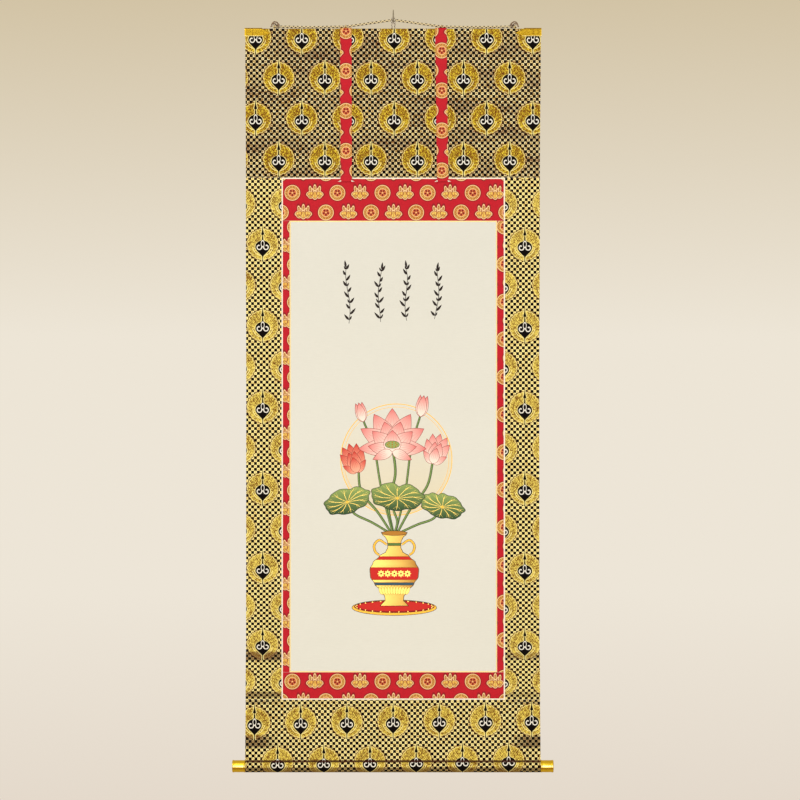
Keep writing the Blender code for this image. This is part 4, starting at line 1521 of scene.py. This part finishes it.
# The double ring behind the flowers: outer and inner radius of each gold line, and its silk's foot.
DISC_CENTRE = (6.0, -876.0)
DISC_RINGS = (
    (112, 110.4, rgb(222, 208, 176)),
    (105.5, 104.7, rgb(222, 211, 184)),
)

# The sprigs: x, top, bottom and lean.
SPRIGS = (
    (-88.6, -492, -604, -4),
    (-28.6, -496, -601, 3),
    (27.4, -492, -598, -3),
    (85.4, -496, -595, 5),
)


def paint_picture():
    art = Painting()
    for outer, inner, foot in DISC_RINGS:
        silk = shaded((6, -990), (6, -766), foot, SILK)
        art.lay(ring_shape(DISC_CENTRE, outer, 120), PAINT_GOLD, 1.0)
        art.lay(ring_shape(DISC_CENTRE, inner, 120), silk)
    for route, wide in STEMS:
        draw_stem(art, [(VASE_BASE[0] + x, VASE_BASE[1] + 144 + z) for x, z in route], wide)
    draw_lotus_leaf(art, (-92, -958), 46, 25, 18, 70)
    draw_lotus_leaf(art, (98, -968), 44, 24, -16, 112)
    draw_bud(art, (54, -790), 10, 1.05)
    draw_bud(art, (-60, -800), -14, 0.95)
    draw_flower(art, (-74, -896), 0.86, -16, HALF_OPEN_FLOWER, PAINT_RED, rgb(246, 176, 150))
    draw_flower(art, (80, -878), 0.88, 15, HALF_OPEN_FLOWER)
    draw_lotus_leaf(art, (8, -950), 52, 27, -4, 88)
    draw_flower(art, (-2, -852), 1.18, 0, OPEN_FLOWER)
    pod = (-2, -846)
    art.inked(ring_shape(pod, 14, 28, 7), PAINT_GREEN_LIGHT, 0.0, 0.8)
    for seed in ring_shape(pod, 9.24, 8, 4.62) + [pod]:
        art.lay(ring_shape(seed, 1.5, 8), PAINT_GOLD_DARK, 1.0)
    draw_vase(art)
    for i, (x, top, bottom, lean) in enumerate(SPRIGS):
        draw_sprig(art, x, top, bottom, lean, 1.7 * i)
    return art


def make_picture():
    """The picture's silk, with the painting's outlines worked into its mesh."""
    art = paint_picture()
    half = (PICTURE_EDGE[0] - GAP / 2) / MM
    high = (PICTURE_EDGE[1] - GAP / 2) / MM
    low = (PICTURE_EDGE[2] + GAP / 2) / MM
    wide_steps = round(2 * half / PICTURE_RIM)
    high_steps = round((high - low) / PICTURE_RIM)
    rim = [(between(-half, half, i / wide_steps), high) for i in range(wide_steps)]
    rim += [(half, between(high, low, i / high_steps)) for i in range(high_steps)]
    rim += [(between(half, -half, i / wide_steps), low) for i in range(wide_steps)]
    rim += [(-half, between(low, high, i / high_steps)) for i in range(high_steps)]
    rim = wound_left(rim)
    grid = []
    for j in range(1, int((high - low) / PICTURE_GRID)):
        for i in range(1, int(2 * half / PICTURE_GRID)):
            grid.append((-half + (i + 0.5 * (j % 2)) * PICTURE_GRID, high - j * PICTURE_GRID))

    def triangles(outlines):
        places = [Vector(p) for p in grid]
        loops = []
        for shape in outlines:
            start = len(places)
            places += [Vector(p) for p in shape]
            loops.append(list(range(start, len(places))))
        found = delaunay_2d_cdt(places, [], loops, 1, 0.004)
        return found[0], found[2], found[5]

    front_places, front, owners = triangles([rim] + [shape for shape, _, _ in art.shapes])
    back_places, back, _ = triangles([rim])
    front_y = SHEET_Y - CLOTH_THICK / 2
    points = []
    places = []
    for found, y in ((front_places, front_y), (back_places, front_y + SHEET_THICK)):
        for p in found:
            x = p.x * MM
            z = p.y * MM
            points.append((x, y + wave(x, z), z))
            places.append((x, z))
    second = len(front_places)
    faces = [tuple(face) for face in front]
    faces += [tuple(second + v for v in reversed(face)) for face in back]

    def nearest(found, p):
        return min(range(len(found)), key=lambda i: (found[i] - p).length_squared)

    edge_front = {}
    edge_back = {}
    for table, found in ((edge_front, front_places), (edge_back, back_places)):
        on_rim = [i for i, p in enumerate(found)
                  if abs(abs(p.x) - half) < 0.01 or abs(p.y - high) < 0.01 or abs(p.y - low) < 0.01]
        near = [found[i] for i in on_rim]
        for k, p in enumerate(rim):
            table[k] = on_rim[nearest(near, Vector(p))]
    count = len(rim)
    for k in range(count):
        j = (k + 1) % count
        faces.append((edge_front[k], edge_front[j], second + edge_back[j], second + edge_back[k]))
    obj = finish_mesh("picture_silk_sheet", points, faces, (painted_silk(), looks["paper"]))
    mesh = obj.data
    for polygon in mesh.polygons[len(front):len(front) + len(back)]:
        polygon.material_index = 1
    set_cloth_map(mesh, places)
    mesh.color_attributes.new("paint", "FLOAT_COLOR", "CORNER")
    mesh.attributes.new("gilt", "FLOAT", "CORNER")
    colours = mesh.color_attributes["paint"]
    shine = mesh.attributes["gilt"]
    for polygon in mesh.polygons:
        paint = SILK
        gold = 0.0
        if polygon.index < len(front):
            top = max(owners[polygon.index])
            if top > 0:
                _, paint, gold = art.shapes[top - 1]
        for index in polygon.loop_indices:
            if callable(paint):
                x, _, z = mesh.vertices[mesh.loops[index].vertex_index].co
                colours.data[index].color = paint(x / MM, z / MM)
            else:
                colours.data[index].color = paint
            shine.data[index].value = gold
    return dress(obj, "picture")


def tube(name, path, radius_at, material, sides=16, relief=None):
    """A closed tube along a path, its surface raised by relief(turn, along), with places mapped."""
    path = [Vector(p) for p in path]
    last = len(path) - 1
    points = []
    travelled = [0.0]
    for a, b in zip(path, path[1:]):
        travelled.append(travelled[-1] + (b - a).length)
    normal = (path[1] - path[0]).normalized().orthogonal()
    for i, centre in enumerate(path):
        along = (path[min(i + 1, last)] - path[max(i - 1, 0)]).normalized()
        normal = (normal - along * normal.dot(along)).normalized()
        side = along.cross(normal)
        for k in range(sides):
            turn = 2 * math.pi * k / sides
            reach = radius_at(i / last) * (relief(turn, travelled[i]) if relief else 1.0)
            points.append(centre + normal * (reach * math.cos(turn)) + side * (reach * math.sin(turn)))
    faces = []
    places = []
    for j in range(last):
        for k in range(sides):
            corners = ((j, k), (j + 1, k), (j + 1, k + 1), (j, k + 1))
            faces.append([a * sides + b % sides for a, b in corners])
            places += [(b / sides, travelled[a]) for a, b in corners]
    for j, around in ((0, range(sides)), (last, range(sides - 1, -1, -1))):
        faces.append([j * sides + k for k in around])
        places += [(k / sides, travelled[j]) for k in around]
    obj = finish_mesh(name, points, faces, (material,), 60)
    layer = obj.data.uv_layers.new(name="cloth")
    for corner, place in zip(layer.data, places):
        corner.uv = place
    return obj


def braid_relief(strands, pitch, height):
    """Two sets of strands wound against each other, over and under by turns."""

    def relief(turn, along):
        phase = 2 * math.pi * along / pitch
        left = math.cos(strands * turn + phase)
        right = math.cos(strands * turn - phase)
        over = math.cos(strands * turn) * math.cos(phase)
        share = 0.5 + 0.5 * math.tanh(3 * over)
        lift = between(max(0.0, right), max(0.0, left), share)
        return 1 - height + 2 * height * lift

    return relief


def twist_relief(plies, pitch, height):
    def relief(turn, along):
        phase = turn - 2 * math.pi * along / pitch
        return 1 - height + 2 * height * abs(math.cos(phase * plies / 2))

    return relief


def resample(path, step):
    """Points a step apart along a path."""
    path = [Vector(p) for p in path]
    found = [path[0]]
    spare = 0.0
    for a, b in zip(path, path[1:]):
        length = (b - a).length
        at = step - spare
        while at < length:
            found.append(a.lerp(b, at / length))
            at += step
        spare = (spare + length) % step
    found.append(path[-1])
    return found


def length_of(path):
    return sum((Vector(b) - Vector(a)).length for a, b in zip(path, path[1:]))


def make_cords():
    cord_look = braid("cord_braid", 0.12, rgb(230, 212, 170), rgb(52, 34, 18))
    knot_look = braid("knot_braid", 0.16, rgb(156, 126, 98), rgb(44, 24, 14))
    route = curve_through([(x, HANG_Y, z) for x, z in CORD_ROUTE], 2)
    path = resample(route, 0.0006)
    hanging = tube(
        "hanging_cord_braid", path, lambda s: CORD_RADIUS, cord_look, 24, braid_relief(3, 0.0075, 0.07)
    )
    dress(hanging, "hanging_cord")
    knots = [make_knot(side, sign, ring_x, knot_look) for side, sign, ring_x in (
        ("left", -1, -RING_XS[0]), ("right", 1, RING_XS[3]),
    )]
    length_of(route)
    tie_route = curve_through(tie_cord_route(), 3)
    tie_path = resample(tie_route, 0.0009)
    tie = tube(
        "tie_cord_twist", tie_path, lambda s: TIE_RADIUS,
        braid("tie_braid", 0.16, rgb(226, 214, 196), rgb(54, 36, 26)), 12,
        twist_relief(2, 0.0050, 0.10),
    )
    dress(tie, "tie_cord")
    length_of(tie_route)


def make_knot(side, sign, ring_x, material):
    """A tied end: a bight over the outer ring, two turns inside it, a loop and a free end."""
    beside_ring = RING_FOOT[0] / 2 + GAP + KNOT_RADIUS
    first_x = ring_x - beside_ring
    last_x = first_x - KNOT_PITCH * KNOT_TURNS
    route = [(ring_x + x, HANG_Y, RING_Z + z, KNOT_RADIUS) for x, z in KNOT_BIGHT]
    steps = 8 * KNOT_TURNS
    for k in range(steps + 1):
        turn = 2 * math.pi * k / 8
        below = (1 - math.cos(turn)) / 2
        radius = between(KNOT_RADIUS, KNOT_PINCHED_RADIUS, below)
        reach = CORD_RADIUS + KNOT_CLEAR + radius
        x = between(first_x, last_x, k / steps)
        y = HANG_Y + reach * math.sin(turn)
        route.append((x, y, RING_Z + reach * math.cos(turn), radius))
    route += [(ring_x + x, HANG_Y + y, RING_Z + z, KNOT_RADIUS) for x, y, z in KNOT_LOOP]
    fine = curve_through(route, 10)
    path = [(sign * p[0], p[1], p[2]) for p in fine]
    last = len(fine) - 1
    knot = tube(
        "knot_%s_braid" % side, path, lambda s: fine[round(s * last)][3], material, 14,
        braid_relief(2, 0.0046, 0.06),
    )
    return dress(knot, "knot_" + side)


def tie_cord_route():
    around = CORD_RADIUS + TIE_CLEAR + TIE_RADIUS
    behind_y = ROD_BACK_Y + GAP + CLOTH_THICK + GAP + TIE_RADIUS
    over = arc(HANG_Y, TIE_OVER_Z, around, 0, 180, 4)
    route = [
        (-0.0026, behind_y, -0.0210),
        (-0.0028, behind_y, -0.0130),
        (-TIE_ASTRIDE, HANG_Y + around + 0.0008, TIE_OVER_Z - 0.0060),
    ]
    route += [(-TIE_ASTRIDE, y, z) for y, z in over]
    route += [
        (-TIE_ASTRIDE + 0.0005, HANG_Y - around + 0.0004, TIE_OVER_Z - 0.0050),
        (0.0, HANG_Y - around + 0.0010, TIE_OVER_Z - 0.0082),
        (TIE_ASTRIDE - 0.0005, HANG_Y - around + 0.0004, TIE_OVER_Z - 0.0050),
    ]
    route += [(TIE_ASTRIDE, y, z) for y, z in reversed(over)]
    route += [
        (TIE_ASTRIDE, HANG_Y + around + 0.0008, TIE_OVER_Z - 0.0060),
        (0.0028, behind_y, -0.0130),
        (0.0026, behind_y, -0.0210),
        (0.0028, behind_y, -0.0400),
        (0.0060, behind_y, -0.1400),
        (0.0120, behind_y + 0.0006, -0.3000),
        (0.0150, behind_y + 0.0010, -0.5000),
        (0.0130, behind_y + 0.0006, -0.7400),
        (0.0165, behind_y, -0.9800),
        (0.0190, behind_y + 0.0004, TIE_TAIL_Z),
    ]
    return route


def make_hook():
    bend_y = -(HOOK_REACH - HOOK_BEND)
    path = [(0, 0, 0), (0, bend_y / 2, 0)]
    path += [(0, y, z) for y, z in arc(bend_y, HOOK_BEND, HOOK_BEND, 270, 180, 14)]
    path += [(0, -HOOK_REACH, z * MM) for z in HOOK_STEM_MM]
    path.append((0, -HOOK_REACH, HOOK_TIP_Z))
    heights = [p[2] for p in path]

    def radius_at(share):
        z = heights[round(share * (len(path) - 1))]
        slim = smooth_step((z - HOOK_TAPER_Z) / (HOOK_TIP_Z - HOOK_TAPER_Z))
        return between(HOOK_RADIUS, HOOK_TIP_RADIUS, slim)

    hook = tube("hook_wire", path, radius_at, iron(), 24)
    return dress(hook, "hook")


def lathe(name, profile, origin, sign, material, sides=72):
    """Turns a profile (along x, radius) about the roller's axis."""
    points = []
    for along, radius in profile:
        for a, b in circle(sides):
            points.append((origin[0] + sign * along, origin[1] + radius * a, origin[2] + radius * b))
    faces = []
    for j in range(len(profile) - 1):
        for k in range(sides):
            after = (k + 1) % sides
            quad = (j * sides + k, j * sides + after, (j + 1) * sides + after, (j + 1) * sides + k)
            faces.append(quad if sign < 0 else quad[::-1])
    first = tuple(range(sides))
    last = tuple((len(profile) - 1) * sides + k for k in range(sides))
    faces.append(first[::-1] if sign < 0 else first)
    faces.append(last if sign < 0 else last[::-1])
    return finish_mesh(name, points, faces, (material,), 45)


# A knob's outline, in millimetres from the cloth: a bead at each end and a low dome.
KNOB = (
    (0.0, 11.2),
    (0.2, 12.0),
    (0.7, 12.35),
    (1.5, 12.4),
    (2.3, 12.3),
    (2.7, 12.0),
    (3.0, 11.85),
    (3.6, 11.9),
    (12.0, 12.0),
    (20.6, 11.9),
    (21.2, 11.85),
    (21.5, 12.0),
    (21.9, 12.3),
    (22.8, 12.4),
    (24.4, 12.35),
    (25.2, 12.1),
    (25.6, 11.4),
    (25.75, 10.2),
    (25.6, 9.7),
    (25.7, 9.2),
    (25.9, 6.0),
    (26.0, 0.4),
)


def make_knobs(material):
    for side, sign in (("left", -1), ("right", 1)):
        low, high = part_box("knob_" + side)
        start = high[0] if sign < 0 else low[0]
        profile = [(along * MM, radius * MM) for along, radius in KNOB]
        knob = lathe("knob_%s_gilt" % side, profile, (start, HANG_Y, ROLLER_Z), sign, material)
        dress(knob, "knob_" + side)


SOFT_EDGE = 0.0002


def soften(obj, width, angle_deg):
    """Rounds the edges that turn by more than an angle."""
    bevel = obj.modifiers.new("soft edges", "BEVEL")
    bevel.width = width
    bevel.segments = 2
    bevel.limit_method = "ANGLE"
    bevel.angle_limit = math.radians(angle_deg)


def make_rings(material):
    """Round eyes on small square feet."""
    for number, x in enumerate(RING_XS, 1):
        path = [(x, y, z) for y, z in arc(HANG_Y, RING_Z, RING_RADIUS, -90, 270, 48)]
        eye = tube("ring_%d_eye" % number, path, lambda s: RING_WIRE, material, 12)
        wide, deep, high = RING_FOOT
        low_z = CLOTH_TOP_Z + GAP
        corners = [
            (x + a * wide / 2, HANG_Y + b * deep / 2, low_z + c * high)
            for c in (0, 1) for a, b in ((-1, -1), (1, -1), (1, 1), (-1, 1))
        ]
        sides = [(0, 1, 5, 4), (1, 2, 6, 5), (2, 3, 7, 6), (3, 0, 4, 7), (3, 2, 1, 0), (4, 5, 6, 7)]
        foot = finish_mesh("ring_%d_foot" % number, corners, sides, (material,), 30)
        soften(foot, SOFT_EDGE, 30)
        dress(eye, "ring_%d" % number)
        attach(foot, "root")


# A tuft: how much of its solid's length shows, how far it is moved, and its threads.
TUFT_SHARE = 0.55
TUFT_SIDES = 4
TUFT_RISE = Vector((0.0, -0.0016, 0.0030))
TUFT_THREADS = 56
TUFT_REACH = 0.0019
TUFT_THREAD = 0.00030
GOLDEN_TURN = 2.399963


def make_tufts(material):
    """Each tuft is a sheaf of fine threads from one corner of a strip."""
    made = []
    for node in sorted(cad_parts):
        if not node.startswith("tuft_"):
            continue
        low, high = (Vector(corner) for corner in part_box(node))
        sign = 1 if node.endswith("_right") else -1
        shift = strip_shift(node.split("_")[1], STRIP_END_Z)
        start_x, end_x = (low.x, high.x) if sign > 0 else (high.x, low.x)
        start = Vector((start_x + shift, (low.y + high.y) / 2, high.z - 0.0006))
        end = start + Vector((end_x - start_x, 0, low.z - start.z)) * TUFT_SHARE
        start += TUFT_RISE
        end += TUFT_RISE
        middle = (start + end) / 2
        points = []
        faces = []
        for i in range(TUFT_THREADS):
            turn = GOLDEN_TURN * i
            reach = TUFT_REACH * math.sqrt((i + 0.5) / TUFT_THREADS)
            fan = Vector((reach * math.cos(turn), reach * math.sin(turn) * 0.6, 0))
            route = [start + fan * 0.35, middle + fan, end + fan * 1.5 - Vector((0, 0, 0.0003))]
            strand = curve_through(route, 3)
            for j, centre in enumerate(strand):
                for k in range(TUFT_SIDES):
                    spin = 2 * math.pi * k / TUFT_SIDES + turn
                    slim = TUFT_THREAD * (1 - 0.4 * j / len(strand))
                    spread = Vector((slim * math.cos(spin), slim * math.sin(spin), 0))
                    points.append(centre + spread)
            first = len(points) - TUFT_SIDES * len(strand)
            top = len(points) - TUFT_SIDES
            for ring in range(first, top, TUFT_SIDES):
                for k in range(TUFT_SIDES):
                    a = ring + k
                    b = ring + (k + 1) % TUFT_SIDES
                    faces.append((a, b, b + TUFT_SIDES, a + TUFT_SIDES))
            faces.append(range(first + TUFT_SIDES - 1, first - 1, -1))
            faces.append(range(top, top + TUFT_SIDES))
        tuft = finish_mesh(node + "_threads", points, faces, (material,), 80)
        made.append(dress(tuft, node))
    return made


def repaint(node, material):
    """Gives a node that stays a finer finish."""
    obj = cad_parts[node]
    obj.data.materials.clear()
    obj.data.materials.append(material)
    return obj


# The camera faces the scroll straight on, so far off that the view is nearly flat.
PHOTO_METRES = 1.600
VIEW_CENTRE = (0.0134, -0.7568)
CAMERA_AWAY = 6.4
SENSOR = 36.0

# The room: a pale floor far below, and a soft pale sky.
FLOOR_Z = -2.30
FLOOR_RADIUS = 3.2

# Two lamps: name, place, target, size and power in watts.
LIGHT_COLOUR = (0.93, 0.98, 1.0)
LIGHTS = (
    ("key", (-1.3, -4.4, 2.2), (0, 0, -0.8), 1.0, 92),
    ("fill", (0.4, -6.8, -1.3), (0, 0, -0.9), 0.9, 146),
)

# The sky's colour at each height of a look, as the sine of its angle above level.
SKY = (
    (-0.125, rgb(228, 217, 203)),
    (-0.060, rgb(237, 229, 215)),
    (0.020, rgb(237, 229, 214)),
    (0.125, rgb(210, 195, 165)),
)


def make_camera():
    data = bpy.data.cameras.new("camera")
    data.sensor_width = SENSOR
    data.lens = SENSOR * CAMERA_AWAY / PHOTO_METRES
    data.clip_end = 50
    camera = bpy.data.objects.new("camera", data)
    camera.location = (VIEW_CENTRE[0], SHEET_Y - CAMERA_AWAY, VIEW_CENTRE[1])
    camera.rotation_euler = (math.radians(90), 0, 0)
    bpy.context.scene.collection.objects.link(camera)
    bpy.context.scene.camera = camera
    bpy.context.scene.view_settings.view_transform = "Standard"


def area_light(name, place, target, size, power):
    data = bpy.data.lights.new(name, "AREA")
    data.size = size
    data.energy = power
    data.color = LIGHT_COLOUR
    light = bpy.data.objects.new(name, data)
    light.location = place
    light.rotation_euler = (Vector(target) - Vector(place)).to_track_quat("-Z", "Y").to_euler()
    bpy.context.scene.collection.objects.link(light)


def make_room():
    rim = [(FLOOR_RADIUS * a, FLOOR_RADIUS * b, FLOOR_Z) for a, b in circle(96)]
    g = Graph("pale_floor")
    grain = g.noise(6.0, 4.0)
    g.surface(Base_Color=g.mix(grain, rgb(226, 216, 196), rgb(214, 202, 178)), Roughness=0.7)
    floor = finish_mesh("floor", rim, [range(len(rim))], (g.material,))

    world = bpy.data.worlds.new("studio")
    world.use_nodes = True
    tree = world.node_tree
    place = tree.nodes.new("ShaderNodeTexCoord")
    split = tree.nodes.new("ShaderNodeSeparateXYZ")
    spread = tree.nodes.new("ShaderNodeMapRange")
    ramp = tree.nodes.new("ShaderNodeValToRGB")
    low = SKY[0][0]
    high = SKY[-1][0]
    spread.inputs["From Min"].default_value = low
    spread.inputs["From Max"].default_value = high
    stops = ramp.color_ramp.elements
    stops[0].color = SKY[0][1]
    stops[1].color = SKY[-1][1]
    for height, colour in SKY[1:-1]:
        stops.new((height - low) / (high - low)).color = colour
    tree.links.new(place.outputs["Generated"], split.inputs[0])
    tree.links.new(split.outputs[2], spread.inputs[0])
    tree.links.new(spread.outputs[0], ramp.inputs[0])
    tree.links.new(ramp.outputs[0], tree.nodes["Background"].inputs[0])
    bpy.context.scene.world = world

    for light in LIGHTS:
        area_light(*light)


make_camera()
make_room()
looks = {
    "paper": backing_paper(),
    "gilt": gilt("gilt_metal_plain"),
    "floss": floss(),
}
make_cords()
make_hook()
make_rings(looks["gilt"])
make_knobs(gilt("gilt_metal_knob", painted_light_bands=True))
tufts = make_tufts(looks["floss"])
top_panel = make_top_panel()
bottom_panel = make_bottom_panel()
side_panels = make_side_panels()
strips = make_strips()
white_silk = plain_silk("white_silk_ribbed", rgb(252, 246, 236), rgb(232, 220, 198))
gold_silk = plain_silk("gold_silk_ribbed", rgb(252, 234, 176), rgb(220, 186, 104), 0.3, 0.5)
white = make_frame("white_edging", WHITE_EDGE, RED_EDGE, lambda n: white_silk, 0.0003)
red = make_frame("red_band", RED_EDGE, GOLD_EDGE, red_brocade)
gold = make_frame("gold_edging", GOLD_EDGE, PICTURE_EDGE, lambda n: gold_silk, 0.0003)
picture = make_picture()
caps_look = gilt("gilt_metal_engraved", engraved=True)
for cap in ("cap_left", "cap_right"):
    soften(repaint(cap, caps_look), SOFT_EDGE, 35)
wood_look = wood()
repaint("top_rod", wood_look)
repaint("roller", wood_look)

# Flat sizes for the cord and sheet rows.
for strip, side in zip(strips, STRIP_CENTRES):
    own = [tuft for tuft in tufts if tuft.name.startswith("tuft_%s_" % side)]
